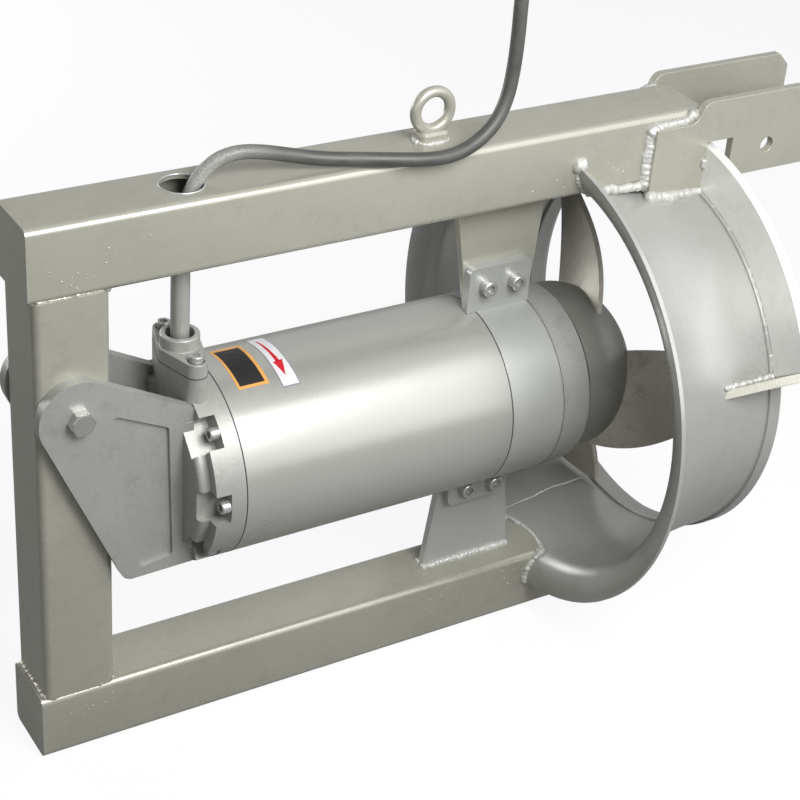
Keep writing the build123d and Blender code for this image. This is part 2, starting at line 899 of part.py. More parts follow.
rear_bearing_start = cover_spigot_end + rear_bracket_web
rear_bearing_end = rear_bearing_start + rear_bearing_width
bracket_hub_r = rear_bearing_outer_r + rear_bracket_boss_wall
with BuildPart() as rear_bearing_bracket:
    revolve(
        turned_section(
            (cover_spigot_end, rear_bearing_outer_r - rear_bracket_boss_wall),
            (rear_bearing_start, rear_bearing_outer_r - rear_bracket_boss_wall),
            (rear_bearing_start, rear_bearing_outer_r + fit_gap),
            (rear_bearing_end, rear_bearing_outer_r + fit_gap),
            (rear_bearing_end, bracket_hub_r),
            (rear_bearing_start + bracket_relief, bracket_hub_r),
            (rear_bearing_start + bracket_relief, motor_bore_r - fit_gap),
            (motor_start + rear_pilot, motor_bore_r - fit_gap),
            (motor_start + rear_pilot, spigot_r),
            (cover_spigot_end, spigot_r),
        ),
        axis=pump_axis,
    )


def bearing(start, width, bore_r, outer_r):
    """Ball bearing on the pump axis: its outer race, balls and inner race, as separate parts."""
    inner_race_r = bore_r + race_share * (outer_r - bore_r)
    outer_race_r = outer_r - race_share * (outer_r - bore_r)
    pitch_r = (inner_race_r + outer_race_r) / 2
    ball_r = (outer_race_r - inner_race_r) / 2 - fit_gap
    with BuildPart() as outer_race:
        revolve(ring_section(start, start + width, outer_race_r, outer_r), axis=pump_axis)
    with BuildPart() as inner_race:
        revolve(ring_section(start, start + width, bore_r, inner_race_r), axis=pump_axis)
    with BuildPart() as balls:
        with Locations(across(start + width / 2)):
            with PolarLocations(pitch_r, ball_count):
                Sphere(ball_r)
    return outer_race, balls, inner_race


rear_bearing_outer_race, rear_bearing_balls, rear_bearing_inner_race = bearing(
    rear_bearing_start, rear_bearing_width, rear_bearing_bore_r, rear_bearing_outer_r
)

# Front housing: bearing hub, rim for the screws, and a lug on each side of the pump for its web
web_wall_start = housing_end - housing_front_web
front_bearing_start = web_wall_start - front_bearing_width
seat_start = housing_end - seal_seat_length
seat_bore_r = shaft_core_r + 3
housing_head_r = socket_head_r_ratio * housing_screw_size + 1
oil_head_depth = oil_screw_size + screw_head_clearance
oil_head_r = socket_head_r_ratio * oil_screw_size + 1
oil_screw_turn = 180 / housing_screw_count

with BuildPart() as front_housing:
    for sign, height in ((1, upper_lug_height), (-1, lower_lug_height)):
        lug_foot = motor_r - lug_thickness
        with BuildSketch(side.offset(web_thickness / 2)):
            with Locations((web_station, sign * (height + lug_foot) / 2)):
                RectangleRounded(lug_width, height - lug_foot, lug_corner_r)
        extrude(amount=lug_thickness)
    revolve(
        ring_section(motor_start, motor_end, 0, motor_r + lug_over_gap),
        axis=pump_axis,
        mode=Mode.SUBTRACT,
    )
    revolve(
        ring_section(housing_end, hub_start, 0, motor_r + lug_over_gap),
        axis=pump_axis,
        mode=Mode.SUBTRACT,
    )
    revolve(
        turned_section(
            (motor_end, 0),
            (motor_end, motor_r - seam_chamfer),
            (motor_end + seam_chamfer, motor_r),
            (housing_end, motor_r),
            (housing_end, 0),
        ),
        axis=pump_axis,
    )
    revolve(ring_section(motor_end - housing_spigot, motor_end, 0, spigot_r), axis=pump_axis)
    revolve(
        turned_section(
            (motor_end - housing_spigot, 0),
            (motor_end - housing_spigot, housing_rim_inner_r),
            (web_wall_start, housing_rim_inner_r),
            (web_wall_start, front_bearing_outer_r + housing_hub_wall),
            (front_bearing_start, front_bearing_outer_r + housing_hub_wall),
            (front_bearing_start, front_bearing_outer_r + fit_gap),
            (web_wall_start, front_bearing_outer_r + fit_gap),
            (web_wall_start, seat_bore_r),
            (seat_start, seat_bore_r),
            (seat_start, seal_seat_r + fit_gap),
            (housing_end, seal_seat_r + fit_gap),
            (housing_end, 0),
        ),
        axis=pump_axis,
        mode=Mode.SUBTRACT,
    )
    for height in (upper_lug_screw_height, -lower_lug_screw_height):
        extrude(
            holes(side, lug_screw_points(height), lug_screw_size / 2 + fit_gap),
            amount=2 * lug_thickness,
            mode=Mode.SUBTRACT,
        )
    extrude(
        screw_holes(housing_end, housing_screw_circle_r, 0, housing_head_r),
        amount=-head_depth,
        mode=Mode.SUBTRACT,
    )
    extrude(
        screw_holes(housing_end, housing_screw_circle_r, 0, housing_screw_size / 2 + fit_gap),
        amount=motor_end - housing_end,
        mode=Mode.SUBTRACT,
    )
    extrude(
        screw_holes(housing_end, oil_screw_circle_r, oil_screw_turn, oil_screw_size / 2 + fit_gap),
        amount=-(oil_screw_length - oil_cover_length + oil_head_depth + tapping_depth),
        mode=Mode.SUBTRACT,
    )
    revolve(spigot_groove(motor_end - housing_spigot / 2), axis=pump_axis, mode=Mode.SUBTRACT)

with BuildPart() as front_housing_seal:
    revolve(spigot_groove(motor_end - housing_spigot / 2), axis=pump_axis)

housing_screw = socket_screw(housing_screw_size, housing_screw_length)
with BuildPart() as front_housing_screws:
    with Locations(across(housing_end - head_depth)):
        with PolarLocations(housing_screw_circle_r, housing_screw_count):
            add(housing_screw)

front_bearing_outer_race, front_bearing_balls, front_bearing_inner_race = bearing(
    front_bearing_start, front_bearing_width, front_bearing_bore_r, front_bearing_outer_r
)

# Lug screws, with their nuts behind the webs
lug_screw = socket_screw(lug_screw_size, lug_thickness + web_thickness + lug_screw_size)
lug_face = side.offset(web_thickness / 2 + lug_thickness)
all_lug_screws = lug_screw_points(upper_lug_screw_height) + lug_screw_points(-lower_lug_screw_height)
with BuildPart() as lug_screws:
    with Locations(lug_face):
        with Locations(*all_lug_screws):
            add(lug_screw)

with BuildPart() as lug_nuts:
    with BuildSketch(side.offset(-web_thickness / 2)):
        with Locations(*all_lug_screws):
            RegularPolygon(hex_flat_ratio * lug_screw_size, 6, major_radius=False)
            Circle(lug_screw_size / 2 + fit_gap, mode=Mode.SUBTRACT)
    extrude(amount=-nut_ratio * lug_screw_size)

# Oil chamber cover
oil_wall_start = oil_cover_end - oil_cover_wall
outer_seat_end = oil_wall_start + seal_seat_length
plug_station = housing_end + (oil_cover_length - oil_cover_wall) / 2
plug_face = motor_r - plug_sink
seal_lip_r = seal_seat_r - 2

# The seal ring lies in a step round the chamber's open end.
oil_seal_section = ring_section(
    housing_end, housing_end + seal_section, oil_chamber_r, oil_chamber_r + seal_section
)

with BuildPart() as oil_chamber_cover:
    revolve(
        turned_section(
            (housing_end, 0),
            (housing_end, motor_r),
            (oil_cover_end, oil_cover_nose_r),
            (oil_cover_end, 0),
        ),
        axis=pump_axis,
    )
    fillet(oil_chamber_cover.edges().group_by(Axis.X)[-1], oil_cover_edge_r)
    revolve(
        turned_section(
            (housing_end, 0),
            (housing_end, oil_chamber_r),
            (oil_wall_start, oil_chamber_r),
            (oil_wall_start, seal_seat_r + fit_gap),
            (outer_seat_end, seal_seat_r + fit_gap),
            (outer_seat_end, seal_lip_r),
            (oil_cover_end, seal_lip_r),
            (oil_cover_end, 0),
        ),
        axis=pump_axis,
        mode=Mode.SUBTRACT,
    )
    extrude(
        screw_holes(oil_cover_end, oil_screw_circle_r, oil_screw_turn, oil_head_r),
        amount=-oil_head_depth,
        mode=Mode.SUBTRACT,
    )
    extrude(
        screw_holes(oil_cover_end, oil_screw_circle_r, oil_screw_turn, oil_screw_size / 2 + fit_gap),
        amount=-oil_cover_length,
        mode=Mode.SUBTRACT,
    )
    # spot face and hole of the oil plug, on the far side
    extrude(
        holes(side.offset(-plug_face), [(plug_station, 0)], 0.8 * plug_size),
        amount=-plug_size,
        mode=Mode.SUBTRACT,
    )
    extrude(
        holes(side.offset(-oil_chamber_r / 2), [(plug_station, 0)], plug_size / 2 + fit_gap),
        amount=-motor_r,
        mode=Mode.SUBTRACT,
    )
    revolve(oil_seal_section, axis=pump_axis, mode=Mode.SUBTRACT)

with BuildPart() as oil_cover_seal:
    revolve(oil_seal_section, axis=pump_axis)

oil_screw = socket_screw(oil_screw_size, oil_screw_length)
with BuildPart() as oil_chamber_screws:
    with Locations(across(oil_cover_end - oil_head_depth)):
        with PolarLocations(oil_screw_circle_r, housing_screw_count, start_angle=oil_screw_turn):
            add(oil_screw)

plug_plane = Plane(
    origin=(post_x + plug_station, plug_face, axis_z), x_dir=(1, 0, 0), z_dir=(0, 1, 0)
)
with BuildPart() as oil_plug:
    with BuildSketch(plug_plane):
        Circle(0.75 * plug_size)
    extrude(amount=plug_size / 4)
    with BuildSketch(plug_plane):
        Circle(plug_size / 2)
    extrude(amount=-plug_size)
    with BuildSketch(plug_plane.offset(plug_size / 4)):
        RegularPolygon(plug_size / 4, 6)
    extrude(amount=-plug_size / 2, mode=Mode.SUBTRACT)

# Shaft seals: a seat held in each wall and a ring that turns with the shaft against it
seal_bore_r = shaft_seal_r + 1.5
with BuildPart() as inner_seal_seat:
    revolve(ring_section(seat_start, housing_end, seal_bore_r, seal_seat_r), axis=pump_axis)
with BuildPart() as outer_seal_seat:
    revolve(ring_section(oil_wall_start, outer_seat_end, seal_bore_r, seal_seat_r), axis=pump_axis)
with BuildPart() as inner_seal_ring:
    inner_ring_start = housing_end + seal_running_gap
    revolve(
        ring_section(
            inner_ring_start, inner_ring_start + seal_ring_length, shaft_seal_r + fit_gap, seal_ring_r
        ),
        axis=pump_axis,
    )
with BuildPart() as outer_seal_ring:
    revolve(
        ring_section(
            outer_seat_end + seal_running_gap, hub_start, shaft_seal_r + fit_gap, seal_ring_r
        ),
        axis=pump_axis,
    )

# Rotor
shaft_start = rear_bearing_start - 1
shoulder_station = hub_start + shaft_step_in_hub
shaft_end = hub_nose - shaft_short_of_dome
hub_seat_end = shaft_end + 2
key_start = shoulder_station + 4
key_floor = shaft_hub_r - key_depth_in_shaft
impeller_bolt_hole = impeller_bolt_length - washer_thickness

with BuildPart() as shaft:
    revolve(
        turned_section(
            (shaft_start, 0),
            (shaft_start, rear_bearing_bore_r),
            (rear_bearing_end, rear_bearing_bore_r),
            (rear_bearing_end, shaft_core_r),
            (front_bearing_start, shaft_core_r),
            (front_bearing_start, front_bearing_bore_r),
            (web_wall_start, front_bearing_bore_r),
            (web_wall_start, shaft_seal_r),
            (shoulder_station, shaft_seal_r),
            (shoulder_station, shaft_hub_r),
            (shaft_end, shaft_hub_r),
            (shaft_end, 0),
        ),
        axis=pump_axis,
    )
    with BuildSketch(level(key_floor)):
        with Locations((key_start + key_length / 2, 0)):
            SlotOverall(key_length, key_width)
    extrude(amount=key_height, mode=Mode.SUBTRACT)
    extrude(
        holes(across(shaft_end), [(0, 0)], impeller_bolt_size / 2 + fit_gap),
        amount=-impeller_bolt_hole,
        mode=Mode.SUBTRACT,
    )

with BuildPart() as rotor_core:
    revolve(ring_section(core_start, core_end, shaft_core_r, rotor_r), axis=pump_axis)
with BuildPart() as rotor_end_rings:
    revolve(
        ring_section(core_start - end_ring_length, core_start, end_ring_inner_r, end_ring_outer_r),
        axis=pump_axis,
    )
    revolve(
        ring_section(core_end, core_end + end_ring_length, end_ring_inner_r, end_ring_outer_r),
        axis=pump_axis,
    )

# Impeller
with BuildSketch(side) as hub_section:
    with BuildLine():
        nose_curve = EllipticalCenterArc((dome_start, 0), hub_dome, hub_r, start_angle=0, arc_size=90)
        Polyline(nose_curve @ 1, (hub_start, hub_r), (hub_start, 0), nose_curve @ 0)
    make_face()
hub_outline = hub_section.sketch

with BuildPart() as impeller_hub:
    revolve(hub_outline, axis=pump_axis)
    revolve(
        turned_section(
            (hub_start, 0),
            (hub_start, shaft_seal_r + fit_gap),
            (shoulder_station, shaft_seal_r + fit_gap),
            (shoulder_station, shaft_hub_r),
            (hub_seat_end, shaft_hub_r),
            (hub_seat_end, washer_r + washer_clearance),
            (hub_nose, washer_r + washer_clearance),
            (hub_nose, 0),
        ),
        axis=pump_axis,
        mode=Mode.SUBTRACT,
    )
    with BuildSketch(level(key_floor)):
        with Locations((key_start + key_length / 2, 0)):
            SlotOverall(key_length, key_width)
    extrude(amount=key_height, mode=Mode.SUBTRACT)

with BuildPart() as impeller_key:
    with BuildSketch(level(key_floor)):
        with Locations((key_start + key_length / 2, 0)):
            SlotOverall(key_length, key_width)
    extrude(amount=key_height)

with BuildPart() as impeller_washer:
    with BuildSketch(across(hub_seat_end)):
        Circle(washer_r)
        Circle(impeller_bolt_size / 2 + fit_gap, mode=Mode.SUBTRACT)
    extrude(amount=washer_thickness)

impeller_screw = socket_screw(impeller_bolt_size, impeller_bolt_length)
with BuildPart() as impeller_bolt:
    with Locations(across(hub_seat_end + washer_thickness)):
        add(impeller_screw)

# Blade edges against the span: station past the hub's rear face, and angle from the top towards
# the side where -Y is. Each edge is a constant, a slope and a curve along the blade's span.
leading_station = (39.7, 106.3, -32.4)
leading_angle = (27.9, -109.3, 44.5)
trailing_station = (81.9, 64.9, -13.1)
trailing_angle = (-60.3, 10.2, -2.7)
root_at_leading_edge = hub_r - 12
root_at_trailing_edge = 0.56 * hub_r
blade_rows = 9
blade_columns = 7


def along(edge, share):
    """Value of a blade edge at a share of the span."""
    return edge[0] + edge[1] * share + edge[2] * share**2


def blade_point(row, column):
    """Point of the blade's middle surface: row 0 is inside the hub, column 0 the leading edge."""
    chord = column / (blade_columns - 1)
    root = root_at_leading_edge + (root_at_trailing_edge - root_at_leading_edge) * chord
    radius = root + (blade_tip_r + 3 - root) * row / (blade_rows - 1)
    share = (radius - blade_base_r) / blade_span
    lead, trail = along(leading_station, share), along(trailing_station, share)
    turn_lead, turn_trail = along(leading_angle, share), along(trailing_angle, share)
    station = hub_start + lead + (trail - lead) * chord
    turn = radians(turn_lead + (turn_trail - turn_lead) * chord)
    return (post_x + station, -radius * sin(turn), axis_z + radius * cos(turn))


blade_surface = Face.make_surface_from_array_of_points(
    [[blade_point(row, column) for column in range(blade_columns)] for row in range(blade_rows)]
)

with BuildPart() as blade:
    thicken(blade_surface, amount=blade_thickness / 2, both=True)
    revolve(ring_section(hub_start, outlet_face, 0, blade_tip_r), axis=pump_axis, mode=Mode.INTERSECT)
    revolve(hub_outline, axis=pump_axis, mode=Mode.SUBTRACT)

blades = [blade.part.rotate(pump_axis, 360 / blade_count * i) for i in range(blade_count)]
with BuildPart() as impeller_blades:
    add(blades)

# Power cable: the free part, from the sleeve's top end over the beam to its support grip
cable_route = [
    (-718, 0, -4),
    (-718, 0, 20),
    (-712.5, -2, 43),
    (-701.5, -3, 63),
    (-685, -5, 78),
    (-664, -8, 84),
    (-639, -10, 81.5),
    (-609, -14, 74.5),
    (-576, -21, 67.5),
    (-540, -31, 65),
    (-504, -43, 63.5),
    (-472, -51, 61),
    (-444, -53, 60),
    (-420, -51, 63.5),
    (-399, -48, 72),
    (-380, -45, 87),
    (-367.5, -42, 110),
    (-362, -40, 140),
    (-360.5, -39.5, 175),
    (-361, -39, 214),
    (-360.5, -39.5, 254),
    (-361, -40, 292),
]


def bend_radii(points):
    """Largest tangent arc for each corner of a route."""
    radii = []
    for before, corner, after in zip(points, points[1:], points[2:]):
        first = Vector(corner) - Vector(before)
        second = Vector(after) - Vector(corner)
        half_turn = radians(first.get_angle(second)) / 2
        radii.append(0.45 * min(first.length, second.length) / tan(half_turn))
    return radii


cable_radii = bend_radii(cable_route)
with BuildPart() as power_cable:
    with BuildLine() as cable_line:
        FilletPolyline(*cable_route, radius=cable_radii)
    with BuildSketch(Plane(origin=cable_line.line @ 0, z_dir=cable_line.line % 0)):
        Circle(cable_r)
    sweep()

grip_plane = Plane(origin=cable_line.line @ 1, z_dir=cable_line.line % 1)
with BuildPart() as cable_grip:
    with BuildSketch(grip_plane.offset(-grip_length)):
        Circle(cable_r + grip_wall)
    extrude(amount=grip_length + 2 * grip_wall)
    with BuildSketch(grip_plane.offset(-grip_length)):
        Circle(cable_r + fit_gap)
    extrude(amount=grip_length, mode=Mode.SUBTRACT)
    eye_centre = grip_plane.from_local_coords((0, 0, 2 * grip_wall + grip_eye_r))
    with BuildSketch(Plane(origin=eye_centre, x_dir=grip_plane.x_dir, z_dir=grip_plane.z_dir)):
        with Locations((grip_eye_r, 0)):
            Circle(grip_bar_r)
    revolve(axis=Axis(eye_centre, grip_plane.y_dir))

print("cable radii", [round(radius) for radius in cable_radii])
cable_length = cable_line.wire().length
volume_share = power_cable.part.volume / (cable_length * pi * cable_r**2)
print("cable length", round(cable_length, 1), "volume share", round(volume_share, 5))

# One file per piece
pieces = {
    "top_beam": top_beam,
    "bottom_beam": bottom_beam,
    "rear_post": rear_post,
    "beam_end_caps": beam_end_caps,
    "front_hanger_arm": front_hanger_arm,
    "rear_hanger_arm": rear_hanger_arm,
    "lifting_eye": lifting_eye,
    "bell_mouth": bell_mouth,
    "outlet_ring": outlet_ring,
    "outlet_flange_plate": outlet_flange_plate,
    "flange_gussets": flange_gussets,
    "upper_support_plate": upper_support_plate,
    "lower_support_plate": lower_support_plate,
    "pivot_bolt": pivot_bolt,
    "pivot_washer": pivot_washer,
    "pivot_nut": pivot_nut,
    "rear_cover": rear_cover,
    "rear_cover_seal": rear_cover_seal,
    "rear_cover_screws": rear_cover_screws,
    "gland_flange": gland_flange,
    "gland_screws": gland_screws,
    "gland_packing": gland_packing,
    "cable_sleeve": cable_sleeve,
    "cable_lead": cable_lead,
    "motor_tube": motor_tube,
    "stator_core": stator_core,
    "stator_windings": stator_windings,
    "terminal_block": terminal_block,
    "rear_bearing_bracket": rear_bearing_bracket,
    "rear_bearing_outer_race": rear_bearing_outer_race,
    "rear_bearing_balls": rear_bearing_balls,
    "rear_bearing_inner_race": rear_bearing_inner_race,
    "front_housing": front_housing,
    "front_housing_seal": front_housing_seal,
    "front_housing_screws": front_housing_screws,
    "front_bearing_outer_race": front_bearing_outer_race,
    "front_bearing_balls": front_bearing_balls,
    "front_bearing_inner_race": front_bearing_inner_race,
    "lug_screws": lug_screws,
    "lug_nuts": lug_nuts,
    "oil_chamber_cover": oil_chamber_cover,
    "oil_chamber_screws": oil_chamber_screws,
    "oil_cover_seal": oil_cover_seal,
    "oil_plug": oil_plug,
    "inner_seal_seat": inner_seal_seat,
    "outer_seal_seat": outer_seal_seat,
    "inner_seal_ring": inner_seal_ring,
    "outer_seal_ring": outer_seal_ring,
    "shaft": shaft,
    "rotor_core": rotor_core,
    "rotor_end_rings": rotor_end_rings,
    "impeller_hub": impeller_hub,
    "impeller_blades": impeller_blades,
    "impeller_key": impeller_key,
    "impeller_washer": impeller_washer,
    "impeller_bolt": impeller_bolt,
    "power_cable": power_cable,
    "cable_grip": cable_grip,
}

os.makedirs("parts", exist_ok=True)
for label, piece in pieces.items():
    piece.part.label = label
    export_step(piece.part, f"parts/{label}.step")
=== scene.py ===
import json
import random
from math import cos, pi, radians, sin, sqrt

import bpy
from mathutils import Matrix, Vector


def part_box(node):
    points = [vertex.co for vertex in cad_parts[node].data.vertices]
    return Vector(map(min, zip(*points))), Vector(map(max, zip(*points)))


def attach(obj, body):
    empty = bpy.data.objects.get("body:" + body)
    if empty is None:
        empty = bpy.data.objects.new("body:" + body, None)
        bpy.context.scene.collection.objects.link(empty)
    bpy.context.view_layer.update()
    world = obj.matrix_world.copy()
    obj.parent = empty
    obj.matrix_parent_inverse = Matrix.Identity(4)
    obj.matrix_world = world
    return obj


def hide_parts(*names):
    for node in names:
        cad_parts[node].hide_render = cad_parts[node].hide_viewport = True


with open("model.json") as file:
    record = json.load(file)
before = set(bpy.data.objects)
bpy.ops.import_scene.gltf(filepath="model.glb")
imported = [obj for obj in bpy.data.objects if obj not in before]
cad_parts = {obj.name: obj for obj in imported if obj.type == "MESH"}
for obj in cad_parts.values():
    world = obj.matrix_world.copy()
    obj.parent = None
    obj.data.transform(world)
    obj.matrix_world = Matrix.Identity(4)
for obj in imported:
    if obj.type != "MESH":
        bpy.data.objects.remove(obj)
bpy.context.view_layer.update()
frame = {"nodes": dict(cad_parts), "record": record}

# Sludge return pump: a submersible motor and an axial impeller in a bell-mouth duct, on a welded
# frame of square tube. Metres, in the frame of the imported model. Stations are distances along the
# pump axis from the rear post's centre, and heights are distances above the pump axis; both are
# written in millimetres and turned into the frame's metres by place().
MM = 0.001
SEED = 7
draw = random.Random(SEED)


def middle(node, axis):
    low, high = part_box(node)
    return (low[axis] + high[axis]) / 2


POST_X = middle("rear_post", 0)
AXIS_Z = middle("outlet_ring", 2)


def place(station, y, height):
    """A point of the frame, from millimetres along, across and above the pump axis."""
    return Vector((POST_X + station * MM, y * MM, AXIS_Z + height * MM))


def stations(node):
    """A node's first and last station, in millimetres."""
    low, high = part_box(node)
    return (low[0] - POST_X) / MM, (high[0] - POST_X) / MM


def heights(node):
    """A node's lowest and highest height, in millimetres."""
    low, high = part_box(node)
    return (low[2] - AXIS_Z) / MM, (high[2] - AXIS_Z) / MM


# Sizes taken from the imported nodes, in millimetres
MOTOR_START, MOTOR_END = stations("motor_tube")
MOTOR_R = heights("motor_tube")[1]
HOUSING_END = stations("front_housing")[1]
RIM_STATION, SPIGOT_END = stations("bell_mouth")
BEAM_UNDERSIDE, BEAM_TOP = heights("top_beam")
BEAM_HALF = (BEAM_TOP - BEAM_UNDERSIDE) / 2
PLATE_START = stations("outlet_flange_plate")[0]
COLLAR_R = heights("outlet_ring")[1]
ARM_START = stations("front_hanger_arm")[0]
ARM_TOP = heights("front_hanger_arm")[1]
ARM_FACE = -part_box("front_hanger_arm")[0][1] / MM
GLAND_STATION = (middle("gland_flange", 0) - POST_X) / MM
FLOOR_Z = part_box("bottom_beam")[0][2]

# Sizes that the nodes' boxes don't give: half length and half width of the lifting eye's foot,
# and the hole that the cable leaves the top beam by
EYE_FOOT = (18.5, 12.5)
CABLE_HOLE_R = 23


# Shader building

def joined(tree, value, socket):
    """Link an output to a socket, or set a plain value on it."""
    if isinstance(value, bpy.types.NodeSocket):
        tree.links.new(value, socket)
    else:
        socket.default_value = value


def maths(tree, operation, first, second=0.0):
    node = tree.nodes.new("ShaderNodeMath")
    node.operation = operation
    joined(tree, first, node.inputs[0])
    joined(tree, second, node.inputs[1])
    return node.outputs[0]


def remap(tree, value, low, high, to_low=0.0, to_high=1.0):
    node = tree.nodes.new("ShaderNodeMapRange")
    for label, number in zip(("Value", "From Min", "From Max", "To Min", "To Max"),
                             (value, low, high, to_low, to_high)):
        joined(tree, number, node.inputs[label])
    return node.outputs["Result"]


def mixed(tree, factor, first, second):
    node = tree.nodes.new("ShaderNodeMix")
    node.data_type = "RGBA"
    joined(tree, factor, node.inputs[0])
    joined(tree, first, node.inputs[6])
    joined(tree, second, node.inputs[7])
    return node.outputs[2]


def noise(tree, position, scale, detail=2.0, roughness=0.5):
    node = tree.nodes.new("ShaderNodeTexNoise")
    joined(tree, position, node.inputs["Vector"])
    node.inputs["Scale"].default_value = scale
    node.inputs["Detail"].default_value = detail
    node.inputs["Roughness"].default_value = roughness
    return node.outputs["Fac"]


def position(tree):
    return tree.nodes.new("ShaderNodeTexCoord").outputs["Object"]


def new_group(name, inputs, outputs):
    """A shader group with named inputs and outputs: the group, its inputs and its outputs."""
    group = bpy.data.node_groups.new(name, "ShaderNodeTree")
    for label, value in inputs.items():
        kind = "NodeSocketFloat" if isinstance(value, float) else "NodeSocketColor"
        socket = group.interface.new_socket(name=label, in_out="INPUT", socket_type=kind)
        socket.default_value = value
    for label, kind in outputs.items():
        group.interface.new_socket(name=label, in_out="OUTPUT", socket_type="NodeSocket" + kind)
    given = group.nodes.new("NodeGroupInput").outputs
    result = group.nodes.new("NodeGroupOutput").inputs
    return group, given, result


# Noise scales of the sprayed paint, in features per metre
FLAKE_SCALE = 420.0
CLOUD_SCALE = 7.0
MARK_SCALE = 42.0
PEEL_SCALE = 240.0
GRIT_SCALE = 620.0
CLOUD_ROUGHENING = 0.04
MARK_ROUGHENING = 0.3


def make_sprayed_paint():
    """Sprayed aluminium paint: flakes, cloudy coats, dull marks, orange peel and grit."""
    group, given, result = new_group(
        "sprayed paint",
        {"Colour": (0.4, 0.4, 0.38, 1), "Mark Colour": (0.2, 0.19, 0.16, 1), "Marks": 0.3,
         "Flakes": 0.1, "Clouds": 0.07, "Roughness": 0.4, "Peel": 0.5, "Grit": 0.0},
        {"Colour": "Color", "Roughness": "Float", "Height": "Float"},
    )
    here = position(group)
    flakes = remap(group, noise(group, here, FLAKE_SCALE, 1.0), 0.3, 0.7, -1.0, 1.0)
    clouds = remap(group, noise(group, here, CLOUD_SCALE, 5.0, 0.6), 0.3, 0.7, -1.0, 1.0)
    streaks = noise(group, here, MARK_SCALE, 6.0, 0.7)
    shade = maths(group, "MULTIPLY", flakes, given["Flakes"])
    shade = maths(group, "ADD", shade, maths(group, "MULTIPLY", clouds, given["Clouds"]))
    shade = maths(group, "ADD", shade, 1.0)
    tinted = group.nodes.new("ShaderNodeVectorMath")
    tinted.operation = "SCALE"
    joined(group, given["Colour"], tinted.inputs[0])
    joined(group, shade, tinted.inputs["Scale"])
    marks = maths(group, "MULTIPLY", remap(group, streaks, 0.52, 0.8), given["Marks"])
    joined(group, mixed(group, marks, tinted.outputs[0], given["Mark Colour"]), result["Colour"])
    cloudy = maths(group, "MULTIPLY", clouds, CLOUD_ROUGHENING)
    marked = maths(group, "MULTIPLY", marks, MARK_ROUGHENING)
    rough = maths(group, "ADD", maths(group, "ADD", given["Roughness"], cloudy), marked)
    joined(group, rough, result["Roughness"])
    peel = maths(group, "MULTIPLY", noise(group, here, PEEL_SCALE, 2.0), given["Peel"])
    grit = maths(group, "MULTIPLY", noise(group, here, GRIT_SCALE, 3.0, 0.6), given["Grit"])
    joined(group, maths(group, "ADD", peel, grit), result["Height"])
    return group


SPRAYED_PAINT = make_sprayed_paint()


def new_material(name, metallic, roughness=0.5):
    material = bpy.data.materials.new(name)
    material.use_nodes = True
    shader = material.node_tree.nodes["Principled BSDF"]
    shader.inputs["Metallic"].default_value = metallic
    shader.inputs["Roughness"].default_value = roughness
    return material, material.node_tree, shader


def painted(name, colour, mark_colour, metallic, relief, **amounts):
    """Material of the sprayed paint group; relief is the bump's height in metres."""
    material, tree, shader = new_material(name, metallic)
    coat = tree.nodes.new("ShaderNodeGroup")
    coat.node_tree = SPRAYED_PAINT
    coat.inputs["Colour"].default_value = (*colour, 1)
    coat.inputs["Mark Colour"].default_value = (*mark_colour, 1)
    for label, value in amounts.items():
        coat.inputs[label].default_value = value
    joined(tree, coat.outputs["Colour"], shader.inputs["Base Color"])
    joined(tree, coat.outputs["Roughness"], shader.inputs["Roughness"])
    bump = tree.nodes.new("ShaderNodeBump")
    bump.inputs["Distance"].default_value = relief
    joined(tree, coat.outputs["Height"], bump.inputs["Height"])
    joined(tree, bump.outputs["Normal"], shader.inputs["Normal"])
    return material


# Finishes: colour, colour of the marks, metallic share, bump height in metres, and the amounts of
# the sprayed paint group
SILVER = (0.37, 0.365, 0.312)
GRIME = (0.17, 0.16, 0.14)
FRAME_PAINT = painted("frame paint", SILVER, GRIME, 0.32, 0.0004,
                      Marks=0.22, Flakes=0.02, Clouds=0.05, Roughness=0.29, Peel=0.07, Grit=0.03)
DUCT_PAINT = painted("duct paint", (0.39, 0.395, 0.375), GRIME, 0.4, 0.0004,
                     Marks=0.15, Flakes=0.02, Clouds=0.05, Roughness=0.3, Peel=0.07, Grit=0.03)
# Lighter, cooler copy of the casting paint for the front housing, the lower support plate and the
# rim of the cable's hole: its extra lightness is painted light, its cooler tone is the paint's own
LIT_PAINT = painted("lit paint", (0.42, 0.43, 0.415), GRIME, 0.38, 0.0004,
                        Marks=0.15, Flakes=0.02, Clouds=0.05, Roughness=0.33, Peel=0.08, Grit=0.06)
# Much lighter copy of the paint for the outlet flange plate: painted light on its face
LIT_FLANGE_PAINT = painted("lit flange paint", (0.76, 0.77, 0.745), GRIME, 0.38, 0.0004,
                      Marks=0.15, Flakes=0.02, Clouds=0.06, Roughness=0.33, Peel=0.08, Grit=0.06)
CAST_PAINT = painted("cast paint", (0.34, 0.345, 0.322), (0.12, 0.11, 0.09), 0.3, 0.0004,
                     Marks=0.3, Flakes=0.04, Clouds=0.06, Roughness=0.38, Peel=0.4, Grit=0.3)
MOTOR_PAINT = painted("motor paint", (0.395, 0.395, 0.37), (0.22, 0.21, 0.19), 0.42, 0.0002,
                      Marks=0.0, Flakes=0.01, Clouds=0.02, Roughness=0.3, Peel=0.0, Grit=0.0)
BLADE_PAINT = painted("impeller paint", (0.40, 0.38, 0.325), (0.12, 0.11, 0.09), 0.25, 0.0005,
                      Marks=0.5, Flakes=0.06, Clouds=0.10, Roughness=0.42, Peel=0.6, Grit=0.3)
HUB_PAINT = painted("hub paint", (0.23, 0.23, 0.21), (0.10, 0.09, 0.07), 0.3, 0.0004,
                    Marks=0.4, Flakes=0.06, Clouds=0.08, Roughness=0.4, Peel=0.5, Grit=0.3)
WELD_PAINT = painted("weld paint", (0.46, 0.462, 0.435), GRIME, 0.25, 0.0006,
                     Marks=0.3, Flakes=0.12, Clouds=0.10, Roughness=0.42, Peel=0.8, Grit=0.8)
